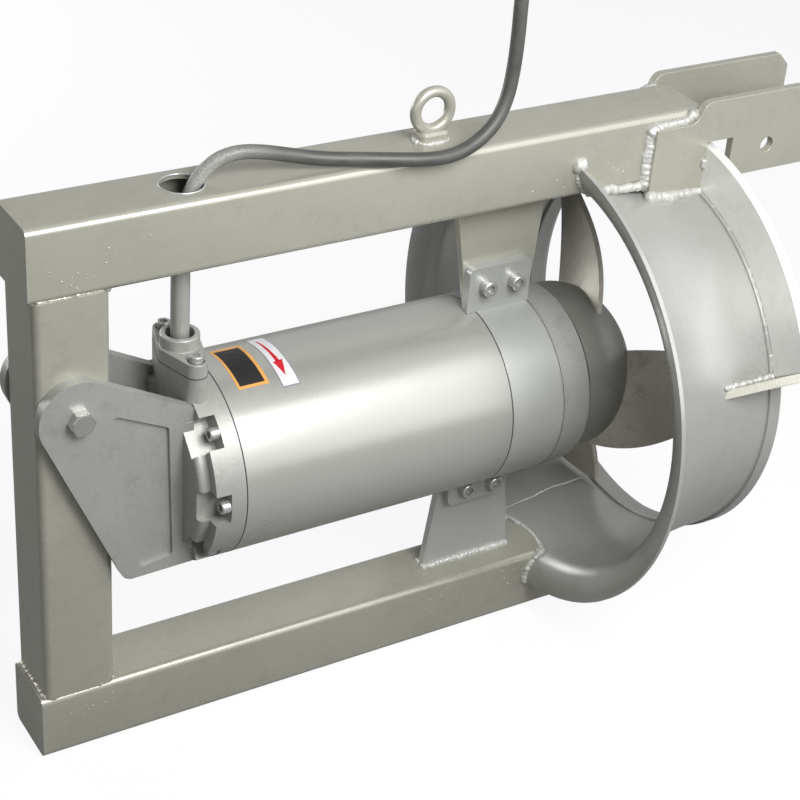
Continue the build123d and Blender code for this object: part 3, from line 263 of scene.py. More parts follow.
SCREW_PAINT = painted("painted screw", (0.46, 0.465, 0.45), (0.08, 0.08, 0.07), 0.6, 0.0002,
                      Marks=0.5, Flakes=0.06, Clouds=0.08, Roughness=0.28, Peel=0.2, Grit=0.2)
STAINLESS = painted("stainless steel", (0.58, 0.58, 0.57), (0.3, 0.3, 0.29), 1.0, 0.0001,
                    Marks=0.3, Flakes=0.04, Clouds=0.05, Roughness=0.22, Peel=0.1, Grit=0.1)
GROUND_STEEL = painted("ground steel", (0.5, 0.5, 0.5), (0.25, 0.25, 0.25), 1.0, 0.0001,
                       Marks=0.2, Flakes=0.06, Clouds=0.05, Roughness=0.3, Peel=0.1, Grit=0.2)
BEARING_STEEL = painted("bearing steel", (0.65, 0.65, 0.66), (0.4, 0.4, 0.4), 1.0, 0.0001,
                        Marks=0.05, Flakes=0.02, Clouds=0.02, Roughness=0.12, Peel=0.05, Grit=0.0)
SEAL_RUBBER = painted("seal rubber", (0.02, 0.02, 0.02), (0.06, 0.06, 0.06), 0.0, 0.0002,
                      Marks=0.3, Flakes=0.1, Clouds=0.1, Roughness=0.55, Peel=0.3, Grit=0.5)
SEAL_RING = painted("lapped seal ring", (0.10, 0.10, 0.11), (0.2, 0.2, 0.2), 0.3, 0.0001,
                    Marks=0.1, Flakes=0.06, Clouds=0.05, Roughness=0.18, Peel=0.1, Grit=0.1)
VARNISH_COPPER = painted("varnished copper", (0.42, 0.15, 0.05), (0.2, 0.08, 0.03), 0.6, 0.0008,
                         Marks=0.4, Flakes=0.2, Clouds=0.1, Roughness=0.35, Peel=0.5, Grit=1.0)
CAST_ALUMINIUM = painted("cast aluminium", (0.55, 0.55, 0.56), (0.35, 0.35, 0.35), 1.0, 0.0005,
                         Marks=0.2, Flakes=0.08, Clouds=0.05, Roughness=0.4, Peel=0.4, Grit=0.8)
TERMINAL_PLASTIC = painted("terminal plastic", (0.03, 0.025, 0.02), (0.1, 0.09, 0.08), 0.0, 0.0002,
                           Marks=0.15, Flakes=0.05, Clouds=0.05, Roughness=0.45, Peel=0.4, Grit=0.3)
# Dark rings and edges in the joints of the casings and the gland: painted shade of the gaps
PAINTED_GAP_SHADE = painted("painted gap shade", (0.03, 0.03, 0.028), (0.1, 0.1, 0.09), 0.0, 0.0002,
                        Marks=0.3, Flakes=0.1, Clouds=0.2, Roughness=0.6, Peel=0.4, Grit=0.5)

# Electrical sheet: pitch of the sheets in metres, and their colours
SHEET_PITCH = 0.002
SHEET_GAP = (0.16, 0.16, 0.17, 1)
SHEET_FACE = (0.3, 0.3, 0.31, 1)

# Cable sheath: noise scales in features per metre, how far from the post's centre its dust starts
# to thin and ends, in metres, and its colours
SPECKLE_SCALE = 500.0
PATCH_SCALE = 30.0
CABLE_DUST_ENDS = (0.150, 0.235)
SHEATH_DARK = (0.052, 0.052, 0.048, 1)
SHEATH_WORN = (0.088, 0.087, 0.081, 1)
CABLE_DUST = (0.33, 0.335, 0.31, 1)

# Sticker films: noise scales in features per metre
MOTTLE_SCALE = 60.0
SCUFF_SCALE = 150.0


def make_laminations():
    """Stacked electrical sheet: fine rings along the pump axis."""
    material, tree, shader = new_material("core laminations", 0.9, 0.45)
    axes = tree.nodes.new("ShaderNodeSeparateXYZ")
    joined(tree, position(tree), axes.inputs[0])
    wave = maths(tree, "SINE", maths(tree, "MULTIPLY", axes.outputs["X"], 2 * pi / SHEET_PITCH))
    sheet = remap(tree, wave, -1.0, 1.0)
    joined(tree, mixed(tree, sheet, SHEET_GAP, SHEET_FACE), shader.inputs["Base Color"])
    bump = tree.nodes.new("ShaderNodeBump")
    bump.inputs["Distance"].default_value = 0.0003
    joined(tree, sheet, bump.inputs["Height"])
    joined(tree, bump.outputs["Normal"], shader.inputs["Normal"])
    return material


def make_cable_rubber():
    """Dark rubber sheath with worn patches, dusted with the aluminium paint near the gland."""
    material, tree, shader = new_material("cable rubber", 0.0, 0.45)
    here = position(tree)
    axes = tree.nodes.new("ShaderNodeSeparateXYZ")
    joined(tree, here, axes.inputs[0])
    speckle = noise(tree, here, SPECKLE_SCALE, 3.0, 0.7)
    patches = noise(tree, here, PATCH_SCALE, 4.0, 0.6)
    rubber = mixed(tree, remap(tree, patches, 0.35, 0.7), SHEATH_DARK, SHEATH_WORN)
    dusty_end, clean_start = (POST_X + distance for distance in CABLE_DUST_ENDS)
    reach = remap(tree, axes.outputs["X"], dusty_end, clean_start, 1.0, 0.0)
    dust = maths(tree, "MULTIPLY", reach, remap(tree, speckle, 0.3, 0.6, 0.4, 1.0))
    joined(tree, mixed(tree, dust, rubber, CABLE_DUST), shader.inputs["Base Color"])
    joined(tree, remap(tree, patches, 0.3, 0.7, 0.38, 0.55), shader.inputs["Roughness"])
    bump = tree.nodes.new("ShaderNodeBump")
    bump.inputs["Distance"].default_value = 0.0002
    joined(tree, speckle, bump.inputs["Height"])
    joined(tree, bump.outputs["Normal"], shader.inputs["Normal"])
    return material


def printed(name, colour, roughness):
    """Film of a sticker: one colour, faintly mottled and scuffed."""
    material, tree, shader = new_material(name, 0.0)
    here = position(tree)
    mottle = remap(tree, noise(tree, here, MOTTLE_SCALE, 4.0, 0.6), 0.3, 0.7, 0.9, 1.08)
    tinted = tree.nodes.new("ShaderNodeVectorMath")
    tinted.operation = "SCALE"
    tinted.inputs[0].default_value = colour
    joined(tree, mottle, tinted.inputs["Scale"])
    joined(tree, tinted.outputs[0], shader.inputs["Base Color"])
    scuffs = noise(tree, here, SCUFF_SCALE)
    joined(tree, remap(tree, scuffs, 0.3, 0.7, roughness, roughness + 0.15),
           shader.inputs["Roughness"])
    return material


LAMINATIONS = make_laminations()
CABLE_RUBBER = make_cable_rubber()
STICKER_BLACK = printed("black sticker film", (0.004, 0.003, 0.003), 0.6)
STICKER_ORANGE = printed("orange sticker film", (0.66, 0.33, 0.09), 0.4)
STICKER_WHITE = printed("white sticker film", (0.66, 0.64, 0.66), 0.35)
STICKER_GREY = printed("grey sticker line", (0.22, 0.22, 0.23), 0.35)
STICKER_RED = printed("red sticker film", (0.50, 0.008, 0.02), 0.45)

SLOT_MATERIALS = {
    "frame_paint": FRAME_PAINT, "duct_paint": DUCT_PAINT, "casting_paint": CAST_PAINT,
    "motor_paint": MOTOR_PAINT, "impeller_paint": BLADE_PAINT, "stainless_fastener": STAINLESS,
    "machined_steel": GROUND_STEEL, "bearing_steel": BEARING_STEEL, "seal_rubber": SEAL_RUBBER,
    "seal_ring": SEAL_RING, "core_laminations": LAMINATIONS, "winding_copper": VARNISH_COPPER,
    "rotor_aluminium": CAST_ALUMINIUM, "terminal_plastic": TERMINAL_PLASTIC,
    "cable_rubber": CABLE_RUBBER,
}
NODE_SLOTS = {entry["node"]: entry["material_slot"] for entry in frame["record"]["subparts"]}

# Nodes whose finish differs from the rest of their slot; the front housing, the lower support plate
# and the outlet flange plate take lighter copies of the paint, which are painted light
NODE_MATERIALS = {
    "lug_screws": SCREW_PAINT, "rear_cover_screws": SCREW_PAINT, "gland_screws": SCREW_PAINT,
    "lug_nuts": SCREW_PAINT, "front_housing": LIT_PAINT, "lower_support_plate": LIT_PAINT,
    "outlet_flange_plate": LIT_FLANGE_PAINT, "impeller_hub": HUB_PAINT,
}


def dress_nodes():
    """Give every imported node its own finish, or the one of its slot."""
    for name, node in frame["nodes"].items():
        node.data.materials.clear()
        node.data.materials.append(NODE_MATERIALS.get(name, SLOT_MATERIALS[NODE_SLOTS[name]]))


# Modelling helpers

# Merging distances of a node's copy and of a spun ring
NODE_MERGE = 0.002 * MM
RING_MERGE = 0.01 * MM

# Edges: the least angle in degrees that counts as an edge when a node's copy is shaded and when it
# is rounded, the same for new pieces and for pieces without edges, and the largest angle between
# faces that are one flat face
SHADED_EDGE = 30
ROUNDED_EDGE = 35
PIECE_EDGE = 35
NO_EDGE = 180
FLAT_ANGLE = 0.5


def deselect():
    for item in bpy.context.selected_objects:
        item.select_set(False)


def activate(piece):
    deselect()
    bpy.context.view_layer.objects.active = piece
    piece.select_set(True)


def own_copy(name, mesh):
    """A new object with its own copy of a mesh."""
    piece = bpy.data.objects.new(name, mesh.copy())
    bpy.context.scene.collection.objects.link(piece)
    return piece


def join_pieces(pieces):
    """The first of several pieces, with the others joined to it."""
    activate(pieces[0])
    for piece in pieces:
        piece.select_set(True)
    bpy.ops.object.join()
    activate(pieces[0])
    return pieces[0]


def open_merged(piece):
    """Open a node's copy in edit mode, all of it selected and its split corners merged."""
    activate(piece)
    bpy.ops.object.mode_set(mode="EDIT")
    bpy.ops.mesh.select_all(action="SELECT")
    bpy.ops.mesh.remove_doubles(threshold=NODE_MERGE)
    bpy.ops.mesh.customdata_custom_splitnormals_clear()


def apply_modifier(piece, kind, **settings):
    modifier = piece.modifiers.new(kind.lower(), kind)
    for key, value in settings.items():
        setattr(modifier, key, value)
    activate(piece)
    bpy.ops.object.modifier_apply(modifier=modifier.name)


def finish_piece(piece, name, material, body="root", smooth=PIECE_EDGE):
    """Put the piece's place in its mesh, smooth it, and name its finish and its body."""
    activate(piece)
    bpy.ops.object.transform_apply(location=True, rotation=True, scale=True)
    bpy.ops.object.shade_smooth_by_angle(angle=radians(smooth))
    piece.name = name
    piece.data.materials.clear()
    piece.data.materials.append(material)
    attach(piece, body)
    return piece


# Edge width of each node that gets worn, rounded edges, in millimetres
EDGE_WIDTHS = {
    "rear_cover": 2.2, "front_housing": 1.2, "gland_flange": 1.5, "oil_chamber_cover": 1.6,
    "front_hanger_arm": 0.9, "rear_hanger_arm": 0.9, "bell_mouth": 1.2, "outlet_ring": 0.8,
    "outlet_flange_plate": 0.9, "flange_gussets": 0.8, "upper_support_plate": 0.7,
    "lower_support_plate": 0.7, "top_beam": 1.2, "bottom_beam": 1.0, "impeller_blades": 1.5,
    "lifting_eye": 0.8, "lug_screws": 0.5, "rear_cover_screws": 0.4, "gland_screws": 0.4,
    "pivot_bolt": 0.5, "pivot_nut": 0.5, "lug_nuts": 0.5, "cable_grip": 0.4,
}
ROTOR_NODES = frame["record"]["behaviour"]["bodies"]["rotor"]


def round_edges(node, width):
    """A finished copy of a node, whose sharp edges are rounded as paint and wear leave them."""
    piece = own_copy(node + "_finished", frame["nodes"][node].data)
    open_merged(piece)
    bpy.ops.mesh.dissolve_limited(angle_limit=radians(FLAT_ANGLE))
    bpy.ops.object.mode_set(mode="OBJECT")
    bpy.ops.object.shade_smooth_by_angle(angle=radians(SHADED_EDGE))
    apply_modifier(piece, "BEVEL", width=width * MM, segments=2, limit_method="ANGLE",
                   angle_limit=radians(ROUNDED_EDGE), harden_normals=True)
    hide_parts(node)
    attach(piece, "rotor" if node in ROTOR_NODES else "root")


# Duct surface, from the same arcs as the node: a tight lip and a wide throat, in millimetres
COLLAR_STEP = 8
COLLAR_LENGTH = 16
BELL_WALL = 5
THROAT_R = 388.95
LIP_R = 42
LIP_CENTRE_R = 283
LIP_STATION = RIM_STATION + LIP_R
DUCT_R = COLLAR_R - COLLAR_STEP
BELL_END = SPIGOT_END - COLLAR_LENGTH
THROAT_CENTRE_R = DUCT_R + THROAT_R
ARCS_MEET = 0.3179  # sine of the throat's angle where it runs into the lip


def duct_radius(station, wall=0.0):
    """Radius of the duct's flow surface at a station, or of its outer surface for a wall."""
    reach = BELL_END - station
    throat_r = THROAT_R - wall
    if reach < throat_r * ARCS_MEET:
        return THROAT_CENTRE_R - sqrt(throat_r ** 2 - max(reach, 0) ** 2)
    lip_r = LIP_R - wall
    return LIP_CENTRE_R - sqrt(max(lip_r ** 2 - (station - LIP_STATION) ** 2, 0))


# Weld beads: their ripples' spacing, wander and voxels as shares of the bead's radius, and how the
# ripples swell and shrink along it
RIPPLE_STEP = 0.36
RIPPLE_WANDER = 0.11
VOXEL_SHARE = 0.2
SWELL_STEP = 0.09
SMALLEST_SWELL = 0.78
LARGEST_SWELL = 1.2
RIPPLE_SHAPE = (0.62, 1.0, 1.0)
DROP_SHAPE = (1.0, 0.6, 1.0)

# Smoothing passes of a bead as it was laid, brushed down, and ground nearly flush
LAID, BRUSHED, GROUND = 2, 8, 14


def sample_path(points, step):
    """Evenly spaced places along a run of straight lines, each with the run's direction there."""
    places = []
    left = 0.0
    for start, end in zip(points, points[1:]):
        run = end - start
        way = left
        while way < run.length:
            places.append((start + run.normalized() * way, run.normalized()))
            way += step
        left = way - run.length
    return places


def make_lens(segments, rings, shape):
    """A low round lens, a millimetre in radius, flattened along one axis."""
    deselect()
    bpy.ops.mesh.primitive_uv_sphere_add(segments=segments, ring_count=rings, radius=MM)
    lens = bpy.context.object
    bpy.ops.object.mode_set(mode="EDIT")
    bpy.ops.transform.resize(value=shape)
    bpy.ops.object.mode_set(mode="OBJECT")
    return lens


def sized(size):
    return Matrix.Diagonal((size, size, size, 1))


def weld_bead(name, points, radius, material=None, smoothing=LAID):
    """Bead of overlapping ripples along points in millimetres, melted into one lumpy run."""
    ripples = []
    swell = 1.0
    step = RIPPLE_STEP * radius * MM
    for spot, way in sample_path([place(*corner) for corner in points], step):
        ripple = own_copy("ripple", RIPPLE.data)
        swell = min(max(swell + draw.gauss(0, SWELL_STEP), SMALLEST_SWELL), LARGEST_SWELL)
        wander = Vector([draw.gauss(0, RIPPLE_WANDER * radius * MM) for _ in range(3)])
        turn = way.to_track_quat("X", "Z").to_matrix().to_4x4()
        ripple.matrix_world = Matrix.Translation(spot + wander) @ turn @ sized(radius * swell)
        ripples.append(ripple)
    bead = join_pieces(ripples)
    bpy.ops.object.transform_apply(location=True, rotation=True, scale=True)
    apply_modifier(bead, "REMESH", mode="VOXEL", voxel_size=VOXEL_SHARE * radius * MM,
                   use_smooth_shade=True)
    apply_modifier(bead, "SMOOTH", factor=0.5, iterations=smoothing)
    return finish_piece(bead, name, material or WELD_PAINT, smooth=NO_EDGE)


def arc_points(station, radius, start, end, count=24):
    """Points round the pump axis at a station: angles in degrees from the top, towards -Y."""
    turns = [radians(start + (end - start) * i / count) for i in range(count + 1)]
    return [(station, -radius * sin(turn), radius * cos(turn)) for turn in turns]


# Names of the frame's two levels and two faces, with the sign of height or of Y
LEVELS = (("upper", 1), ("lower", -1))
FACES = (("front", -1), ("back", 1))

# Welds of the frame, in millimetres: half width of the post's flat sides, where the beads lie and
# their radii, and how far a bead's middle lies off a face
POST_FLAT = 34
POST_WELD_Y = 34.2
POST_WELD_R = {"upper": 5.2, "lower": 4.8}
POST_END_WELD_R = 3.6
WEB_WELD_Y = 6
WEB_WELD_R = {"upper": 3.4, "lower": 4.6}
EYE_WELD_R = 3.8
EYE_WELD_STEPS = 24
OFF_FACE = 0.5


def make_frame_welds():
    """Post to beams, ground nearly flush, webs to beams, and the foot of the lifting eye."""
    for label, side in LEVELS:
        edge = side * BEAM_UNDERSIDE
        for face, y in FACES:
            weld_bead(f"post_{label}_{face}_weld",
                      [(-POST_FLAT, y * POST_WELD_Y, edge), (POST_FLAT, y * POST_WELD_Y, edge)],
                      POST_WELD_R[label], FRAME_PAINT, smoothing=GROUND)
            first, last = stations(f"{label}_support_plate")
            weld_bead(f"{label}_web_{face}_weld",
                      [(first, y * WEB_WELD_Y, edge), (last, y * WEB_WELD_Y, edge)],
                      WEB_WELD_R[label])
        for face, end in (("inner", 1), ("outer", -1)):
            station = end * (BEAM_HALF - OFF_FACE)
            weld_bead(f"post_{label}_{face}_weld",
                      [(station, -POST_FLAT, edge), (station, POST_FLAT, edge)],
                      POST_END_WELD_R, FRAME_PAINT, smoothing=BRUSHED)
    eye = (middle("lifting_eye", 0) - POST_X) / MM
    half_length, half_width = EYE_FOOT
    loop = []
    for i in range(EYE_WELD_STEPS + 1):
        turn = 2 * pi * i / EYE_WELD_STEPS
        loop.append((eye + half_length * cos(turn), half_width * sin(turn), BEAM_TOP + OFF_FACE))
    weld_bead("lifting_eye_weld", loop, EYE_WELD_R)


# Welds of the duct, its arms and its gussets, in millimetres: radii of the beads
MOUTH_WELD_R = 3.6
LOWER_MOUTH_WELD_R = 5.5
ACROSS_WELD_R = 3.0
BEAM_END_WELD_R = 7.0
ARM_FOOT_WELD_R = 7.2
ARM_EDGE_WELD_R = 6.4
TACK_R = 4.0
PLATE_WELD_R = 3.4
GUSSET_WELD_R = 4.2
SEAM_WELD_R = 2.2

# Runs of beads on the side of +Y: station, distance across and height of each point
ARM_TOE = ARM_TOP - 24
BEAM_END_RUN = [(632, 39, 243), (655, 38, 240), (ARM_START + 4, 39, 238)]
ARM_EDGE_RUN = [
    (ARM_START - 2, 40, 238), (ARM_START - 2, 40, ARM_TOE - 6),
    (ARM_START + 2, 40.5, ARM_TOE + 0.5), (ARM_START + 46, 40.5, ARM_TOE + 1.5),
    (ARM_START + 56, 40.5, ARM_TOE + 7), (ARM_START + 62, 39, BEAM_TOP - 5),
]
TACK_RUN = [(PLATE_START - 1, ARM_FACE + 1, 262), (PLATE_START - 1, ARM_FACE + 1, 253)]
PLATE_RUN = arc_points(PLATE_START - 0.3, COLLAR_R - 3.5, -14, -73.5)

# Lumps where the duct's mouth leaves the beams' front corners: how far inside the face they lie,
# then station and height of both ends, and the radius
LUMP_INSET = 1
MOUTH_LUMPS = {
    "bell_upper_lump": ((588, 281), (597, 279), 8.0),
    "bell_lower_lump": ((604, -258), (597, -272), 8.5),
}

# Foot of an arm on the duct, a gusset on the outlet ring, and the seam of the rolled bell
FOOT_STEPS = 6
FOOT_RISE = 1.5
GUSSET_ANGLE = 15.5
GUSSET_LIFT = 8.5
GUSSET_INSET = 3
GUSSET_START = 692
SEAM_START = 606
SEAM_LENGTH = 134
SEAM_STEPS = 8
SEAM_LIFT = 0.8
SEAM_ANGLE = 192
SEAM_WANDER = 0.25


def mirrored(points, side):
    """A run of the +Y side, on the side whose sign is given."""
    return [(station, side * across, height) for station, across, height in points]


# How far behind the rim the duct's crossing of a beam is looked for, its step on the level face,
# and the share of the found points that a bead needs
RIM_SEARCH = 60
LEVEL_STEP = 0.5
THINNING = 3


def bell_on_beam(side, wall, level, count=8):
    """Where the duct's inner or outer surface crosses a beam: front face, level face, back face."""
    face = BEAM_HALF + OFF_FACE
    first = RIM_STATION + wall
    points = []
    for i in range(RIM_SEARCH):
        station = first + i
        radius = duct_radius(station, wall)
        if radius * radius <= level * level + face * face:
            break
        points.append((station, -face, side * sqrt(radius * radius - face * face)))
    across = []
    for i in range(count + 1):
        y = -face + 2 * face * i / count
        radius = sqrt(level * level + y * y)
        station = first
        while duct_radius(station, wall) > radius:
            station += LEVEL_STEP
        across.append((station, y, side * level))
    front = points[::THINNING]
    return front, across, mirrored(front, -1)[::-1]


def arm_foot_run():
    """Where an arm's face stands on the duct's outer surface, on the side of +Y."""
    run = []
    for i in range(FOOT_STEPS + 1):
        station = ARM_START - 1 + (PLATE_START - ARM_START) * i / FOOT_STEPS
        radius = max(duct_radius(station, BELL_WALL), DUCT_R + BELL_WALL)
        run.append((station, ARM_FACE + OFF_FACE, sqrt(radius ** 2 - ARM_FACE ** 2) + FOOT_RISE))
    return run


def gusset_run():
    """Where a gusset lies on the outlet ring, on the side of +Y."""
    radius = COLLAR_R - GUSSET_INSET
    turn = radians(90 - GUSSET_ANGLE)
    across, height = radius * sin(turn), radius * cos(turn) + GUSSET_LIFT
    return [(GUSSET_START, across, height), (PLATE_START - 2, across, height)]


def make_duct_welds():
    """Duct to beams, arms and gussets, and the seam of the rolled bell."""
    for label, side in LEVELS:
        for face, wall in (("inner", 0.0), ("outer", BELL_WALL)):
            front, across, back = bell_on_beam(side, wall, BEAM_UNDERSIDE)
            size = LOWER_MOUTH_WELD_R if side < 0 and wall == 0.0 else MOUTH_WELD_R
            name = f"bell_{label}_{face}"
            weld_bead(f"{name}_front_weld", front, size)
            weld_bead(f"{name}_back_weld", back, size)
            weld_bead(f"{name}_across_weld", across, ACROSS_WELD_R)
    corner_y = LUMP_INSET - BEAM_HALF
    for name, (first, last, radius) in MOUTH_LUMPS.items():
        weld_bead(name, [(station, corner_y, height) for station, height in (first, last)], radius)
    for face, side in FACES:
        for name, run, radius in (
            (f"beam_{face}_duct_weld", BEAM_END_RUN, BEAM_END_WELD_R),
            (f"arm_{face}_foot_weld", arm_foot_run(), ARM_FOOT_WELD_R),
            (f"arm_{face}_edge_weld", ARM_EDGE_RUN, ARM_EDGE_WELD_R),
            (f"arm_{face}_plate_tack", TACK_RUN, TACK_R),
            (f"flange_{face}_weld", PLATE_RUN, PLATE_WELD_R),
            (f"gusset_{face}_weld", gusset_run(), GUSSET_WELD_R),
        ):
            weld_bead(name, mirrored(run, side), radius)
    seam = []
    for i in range(SEAM_STEPS + 1):
        station = SEAM_START + SEAM_LENGTH * i / SEAM_STEPS
        radius = duct_radius(station) + SEAM_LIFT
        turn = radians(SEAM_ANGLE + draw.gauss(0, SEAM_WANDER))
        seam.append((station, -radius * sin(turn), radius * cos(turn)))
    weld_bead("bell_seam_weld", seam, SEAM_WELD_R, DUCT_PAINT)


# Weld spatter: middle of each patch (station, height), its spread, and its drops
SPATTER = (
    (0, 262, 14, 9), (60, 285, 30, 6), (10, -258, 16, 12), (30, -240, 8, 6),
    (470, -262, 26, 10), (560, -262, 20, 10), (560, 262, 18, 8), (655, 262, 14, 8),
)
DROP_SIZES = (0.5, 1.3)


def make_spatter():
    """Weld spatter: small painted-over drops beside the joints of the frame's front."""
    drop = make_lens(8, 5, DROP_SHAPE)
    drops = []
    for station, height, spread, count in SPATTER:
        for _ in range(count):
            spot = (draw.gauss(station, spread), -BEAM_HALF, draw.gauss(height, 0.5 * spread))
            copy = own_copy("drop", drop.data)
            copy.matrix_world = Matrix.Translation(place(*spot)) @ sized(draw.uniform(*DROP_SIZES))
            drops.append(copy)
    bpy.data.objects.remove(drop)
    finish_piece(join_pieces(drops), "weld_spatter", WELD_PAINT, smooth=NO_EDGE)


# Joints and rims, in millimetres

# Joint lines of the motor's casings, dark rings of painted shade: station, radius of the round
# line, and how deep it is sunk
JOINT_LINES = {
    "cover_joint_line": (MOTOR_START, 0.8, 0.55),
    "housing_joint_line": (MOTOR_END, 1.3, 0.95),
    "oil_cover_joint_line": (HOUSING_END, 0.6, 0.45),
}
LINE_STEPS = 144

# Rim of the cable's hole, and the dark edge under the gland's flange, painted shade of the split:
# its height and how it grows
HOLE_RIM_R = 1.0
HOLE_RIM_STEPS = 72
SPLIT_SHADE_HEIGHT = 0.9
SPLIT_SHADE_GROWTH = (1.012, 1.008, 1.0)


def spun_ring(spot, line_r, centre, axis, steps):
    """Ring about an axis, spun in edit mode from a small circle that stands at a spot."""
    deselect()
    bpy.ops.mesh.primitive_circle_add(vertices=10, radius=line_r * MM, fill_type="NOTHING",
                                      location=spot, rotation=(pi / 2, 0, 0))
    piece = bpy.context.object
    bpy.ops.object.transform_apply(location=True, rotation=True, scale=True)
    bpy.ops.object.mode_set(mode="EDIT")
    bpy.ops.mesh.select_all(action="SELECT")
    bpy.ops.mesh.spin(steps=steps, angle=2 * pi, center=centre, axis=axis)
    bpy.ops.mesh.select_all(action="SELECT")
    bpy.ops.mesh.remove_doubles(threshold=RING_MERGE)
    bpy.ops.mesh.normals_make_consistent(inside=False)
    bpy.ops.object.mode_set(mode="OBJECT")
    return piece


def make_seams():
    """Dark rings in the joints of the motor's casings: painted shade of the gaps."""
    for name, (station, line_r, sunk) in JOINT_LINES.items():
        line = spun_ring(place(station, 0, MOTOR_R - sunk), line_r, place(0, 0, 0), (1, 0, 0),
                         LINE_STEPS)
        finish_piece(line, name, PAINTED_GAP_SHADE)


def make_hole_rim():
    """Raised, worn rim of the hole that the cable leaves the top beam by, in the lighter lit paint,
    so that its light line is partly painted highlight.
    """
    rim = spun_ring(place(GLAND_STATION + CABLE_HOLE_R, 0, BEAM_TOP), HOLE_RIM_R,
                    place(GLAND_STATION, 0, BEAM_TOP), (0, 0, 1), HOLE_RIM_STEPS)
    finish_piece(rim, "cable_hole_rim", LIT_PAINT)


def make_gland_joint():
    """Dark edge between the cable gland's flange and the boss of the cover: painted shade of the
    split line.
    """
    piece = own_copy("gland_joint_line", frame["nodes"]["gland_flange"].data)
    base = heights("gland_flange")[0]
    open_merged(piece)
    bpy.ops.mesh.select_all(action="SELECT")
    bpy.ops.mesh.bisect(plane_co=place(0, 0, base + SPLIT_SHADE_HEIGHT), plane_no=(0, 0, 1),
                        clear_outer=True, use_fill=True)
    bpy.ops.mesh.select_all(action="SELECT")
    bpy.ops.transform.resize(value=SPLIT_SHADE_GROWTH, center_override=place(GLAND_STATION, 0, base))
    bpy.ops.object.mode_set(mode="OBJECT")
    finish_piece(piece, "gland_joint_line", PAINTED_GAP_SHADE)


# Stickers on the motor

def rectangle(first, last, start, end):
    """Outline of a sticker between two stations and two angles."""
    return [(first, start), (last, start), (last, end), (first, end)]


# Films: outline in (station, degrees from the top towards -Y), height over the motor, material
SHELL_SIDES = 240
FILM_THICKNESS = 0.12
STICKERS = {
    "panel_border": (rectangle(179, 215, -14, 25), 0.10, STICKER_ORANGE),
    "black_panel": (rectangle(182, 211, -10.5, 23), 0.25, STICKER_BLACK),
    "arrow_outline": (rectangle(227, 247.5, -19, 30), 0.10, STICKER_GREY),
    "arrow_panel": (rectangle(228, 246.5, -18, 29), 0.25, STICKER_WHITE),
}
ARROW_LIFT = 0.40
ARROW_SHAFT = [(234.4, -13), (236.0, -13), (239.4, 11.5), (234.6, 11.5)]
ARROW_HEAD = [(243.0, 10.5), (231.0, 11.5), (236.0, 22.5)]


def wrapped_patch(name, corners, lift):
    """Film on the motor, trimmed from a round shell to a convex outline of (station, degrees)."""
    first = min(station for station, _ in corners)
    last = max(station for station, _ in corners)
    radius = MOTOR_R + lift
    deselect()
    bpy.ops.mesh.primitive_cylinder_add(vertices=SHELL_SIDES, radius=radius * MM,
                                        depth=(last - first) * MM, end_fill_type="NOTHING",
                                        location=place((first + last) / 2, 0, 0),
                                        rotation=(0, pi / 2, 0))
    patch = bpy.context.object
    patch.name = name
    bpy.ops.object.transform_apply(location=True, rotation=True, scale=True)

    def on_tube(corner):
        station, angle = corner
        return place(station, -radius * sin(radians(angle)), radius * cos(radians(angle)))

    spots = [on_tube(corner) for corner in corners]
    centre = sum(spots, Vector()) / len(spots)
    bpy.ops.object.mode_set(mode="EDIT")
    for start, end in zip(spots, spots[1:] + spots[:1]):
        half_way = (start + end) / 2
        outwards = half_way - place((half_way.x - POST_X) / MM, 0, 0)
        normal = (end - start).cross(outwards)
        if normal.dot(centre - half_way) > 0:
            normal = -normal
        bpy.ops.mesh.select_all(action="SELECT")
        bpy.ops.mesh.bisect(plane_co=half_way, plane_no=normal.normalized(), clear_outer=True)
    bpy.ops.mesh.select_all(action="SELECT")
    bpy.ops.mesh.bisect(plane_co=place(0, 0, 0), plane_no=(0, 0, -1), clear_outer=True)
    bpy.ops.object.mode_set(mode="OBJECT")
    apply_modifier(patch, "SOLIDIFY", thickness=FILM_THICKNESS * MM, offset=0)
    return patch


def make_stickers():
    """Bare orange-edged black panel, and a white panel with an arrow for the turning direction."""
    for name, (outline, lift, material) in STICKERS.items():
        finish_piece(wrapped_patch(name, outline, lift), name, material)
    shaft = wrapped_patch("arrow_shaft", ARROW_SHAFT, ARROW_LIFT)
    head = wrapped_patch("arrow_head", ARROW_HEAD, ARROW_LIFT)
    finish_piece(join_pieces([shaft, head]), "rotation_arrow", STICKER_RED)


# Cable: the points that the part's source lists too, in the frame's metres

CABLE_ROUTE = [
    (-0.718, 0, -0.004), (-0.718, 0, 0.02), (-0.7125, -0.002, 0.043),
    (-0.7015, -0.003, 0.063), (-0.685, -0.005, 0.078), (-0.664, -0.008, 0.084),
    (-0.639, -0.01, 0.0815), (-0.609, -0.014, 0.0745), (-0.576, -0.021, 0.0675),
    (-0.54, -0.031, 0.065), (-0.504, -0.043, 0.0635), (-0.472, -0.051, 0.061),
    (-0.444, -0.053, 0.06), (-0.42, -0.051, 0.0635), (-0.399, -0.048, 0.072),
    (-0.38, -0.045, 0.087), (-0.3675, -0.042, 0.11), (-0.362, -0.04, 0.14),
    (-0.3605, -0.0395, 0.175), (-0.361, -0.039, 0.214), (-0.3605, -0.0395, 0.254),
    (-0.361, -0.04, 0.292),
]
CABLE_DIAMETER = 0.015


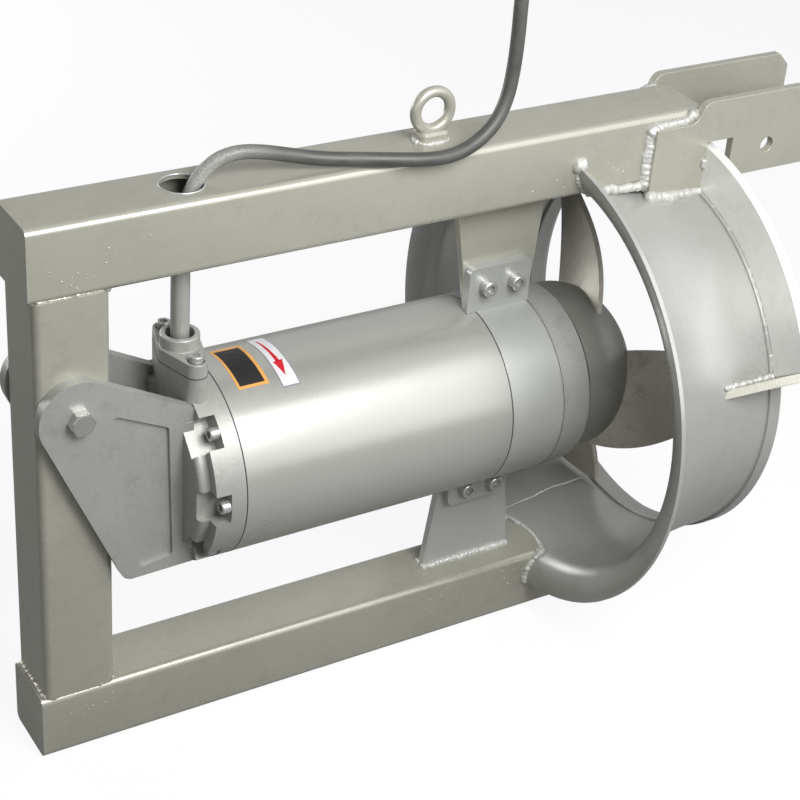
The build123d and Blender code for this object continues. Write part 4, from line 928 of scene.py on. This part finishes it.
def make_cable():
    """One smooth tube along the route, in place of the node's arcs and straight lines."""
    curve = bpy.data.curves.new("supply cable", "CURVE")
    curve.dimensions = "3D"
    curve.bevel_depth = CABLE_DIAMETER / 2
    curve.bevel_resolution = 8
    curve.use_fill_caps = True
    spline = curve.splines.new("NURBS")
    spline.points.add(len(CABLE_ROUTE) - 1)
    for control, spot in zip(spline.points, CABLE_ROUTE):
        control.co = (*spot, 1)
    spline.order_u = 3
    spline.use_endpoint_u = True
    cable = bpy.data.objects.new("supply_cable", curve)
    bpy.context.scene.collection.objects.link(cable)
    curve.materials.append(CABLE_RUBBER)
    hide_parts("power_cable")
    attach(cable, "root")


# Camera, at the photograph's viewing angle: millimetres for the lens, metres for its place
SENSOR_WIDTH = 36
FOCAL_LENGTH = 85.565
LENS_SHIFT = (0.02198, 0.0217)
CAMERA_SPOT = (-1.4598, -1.5461, 0.8528)
CAMERA_RIGHT = (0.86005, -0.50601, 0.06533)
CAMERA_UP = (0.21852, 0.48103, 0.84904)


def make_camera():
    data = bpy.data.cameras.new("camera")
    data.sensor_width = SENSOR_WIDTH
    data.lens = FOCAL_LENGTH
    data.shift_x, data.shift_y = LENS_SHIFT
    camera = bpy.data.objects.new("camera", data)
    bpy.context.scene.collection.objects.link(camera)
    right = Vector(CAMERA_RIGHT).normalized()
    up = Vector(CAMERA_UP).normalized()
    turn = Matrix((right, up, right.cross(up))).transposed().to_4x4()
    camera.matrix_world = Matrix.Translation(CAMERA_SPOT) @ turn
    bpy.context.scene.camera = camera


# Floor, world and lamps

# Shares of the white backdrop and of the white floor that gloss shows, how pale the floor is in
# the light that it sends back, how far its own white replaces its shadow, and the room's light
BACKDROP_IN_GLOSS = 0.6
FLOOR_IN_GLOSS = 0.2
FLOOR_BOUNCE = 0.06
FLOOR_PALE = 0.9
FLOOR_WHITE = 0.9
FLOOR_SIZE = 60
ROOM_LIGHT = 0.11

# Lamps: spot and target, size of the softbox, all in metres, and watts
LAMPS = {
    "front softbox": ((0.76, -1.55, 0.85), (-0.45, 0, -0.15), (2.0, 2.4), 26),
    "upper softbox": ((-0.5, -1.25, 0.98), (0.0, 0, -0.05), (0.9, 0.9), 36),
    "duct light": ((-0.2, -0.8, 0.9), (-0.08, 0, 0.05), (0.7, 0.4), 2),
    "left softbox": ((-2.4, -1.5, 0.6), (-0.3, 0, -0.2), (1.2, 1.2), 6),
    "far right softbox": ((1.6, -0.6, 0.9), (-0.15, -0.1, -0.1), (1.2, 1.1), 3),
    "back softbox": ((-1.3, 2.3, 0.1), (-0.4, 0, -0.2), (2.4, 0.9), 34),
}


def grey(level):
    return (level, level, level, 1)


def seen_directly(tree, in_gloss):
    """1 for rays that show the background, straight or through glass, and a share in gloss."""
    path = tree.nodes.new("ShaderNodeLightPath")
    gloss = maths(tree, "MULTIPLY", path.outputs["Is Glossy Ray"], in_gloss)
    shown = maths(tree, "MAXIMUM", path.outputs["Is Camera Ray"], gloss)
    return maths(tree, "MAXIMUM", shown, path.outputs["Is Transmission Ray"])


def make_floor():
    """Pale floor: mostly its own white where it is seen, so that it keeps a soft shadow."""
    deselect()
    bpy.ops.mesh.primitive_plane_add(size=FLOOR_SIZE, location=(0, 0, FLOOR_Z))
    floor = bpy.context.object
    floor.name = "floor"
    material, tree, shader = new_material("pale floor", 0.0, 0.9)
    shown = seen_directly(tree, FLOOR_IN_GLOSS)
    joined(tree, mixed(tree, shown, grey(FLOOR_BOUNCE), grey(FLOOR_PALE)),
           shader.inputs["Base Color"])
    shader.inputs["Specular IOR Level"].default_value = 0
    glow = tree.nodes.new("ShaderNodeEmission")
    glow.inputs["Color"].default_value = grey(1)
    blend = tree.nodes.new("ShaderNodeMixShader")
    joined(tree, maths(tree, "MULTIPLY", shown, FLOOR_WHITE), blend.inputs[0])
    joined(tree, shader.outputs[0], blend.inputs[1])
    joined(tree, glow.outputs[0], blend.inputs[2])
    joined(tree, blend.outputs[0], tree.nodes["Material Output"].inputs["Surface"])
    floor.data.materials.append(material)


def make_world():
    """White backdrop where it is seen, and a dim even light from it on the object."""
    world = bpy.data.worlds.new("studio")
    bpy.context.scene.world = world
    world.use_nodes = True
    tree = world.node_tree
    background = tree.nodes["Background"]
    background.inputs["Color"].default_value = grey(1)
    shown = seen_directly(tree, BACKDROP_IN_GLOSS)
    joined(tree, remap(tree, shown, 0.0, 1.0, ROOM_LIGHT, 1.0), background.inputs["Strength"])


def area_lamp(name, spot, target, size, power):
    """Softbox at a spot, facing a target, out of the camera's sight."""
    data = bpy.data.lights.new(name, "AREA")
    data.shape = "RECTANGLE"
    data.size, data.size_y = size
    data.energy = power
    lamp = bpy.data.objects.new(name, data)
    bpy.context.scene.collection.objects.link(lamp)
    lamp.location = spot
    lamp.rotation_euler = (Vector(target) - Vector(spot)).to_track_quat("-Z", "Y").to_euler()
    lamp.visible_camera = False


def make_lamps():
    for name, settings in LAMPS.items():
        area_lamp(name, *settings)


dress_nodes()
for node_name, edge_width in EDGE_WIDTHS.items():
    round_edges(node_name, edge_width)
make_cable()
RIPPLE = make_lens(10, 6, RIPPLE_SHAPE)
make_frame_welds()
make_duct_welds()
bpy.data.objects.remove(RIPPLE)
make_spatter()
make_seams()
make_hole_rim()
make_gland_joint()
make_stickers()
make_camera()
make_floor()
make_world()
make_lamps()
bpy.context.scene.view_settings.view_transform = "Standard"
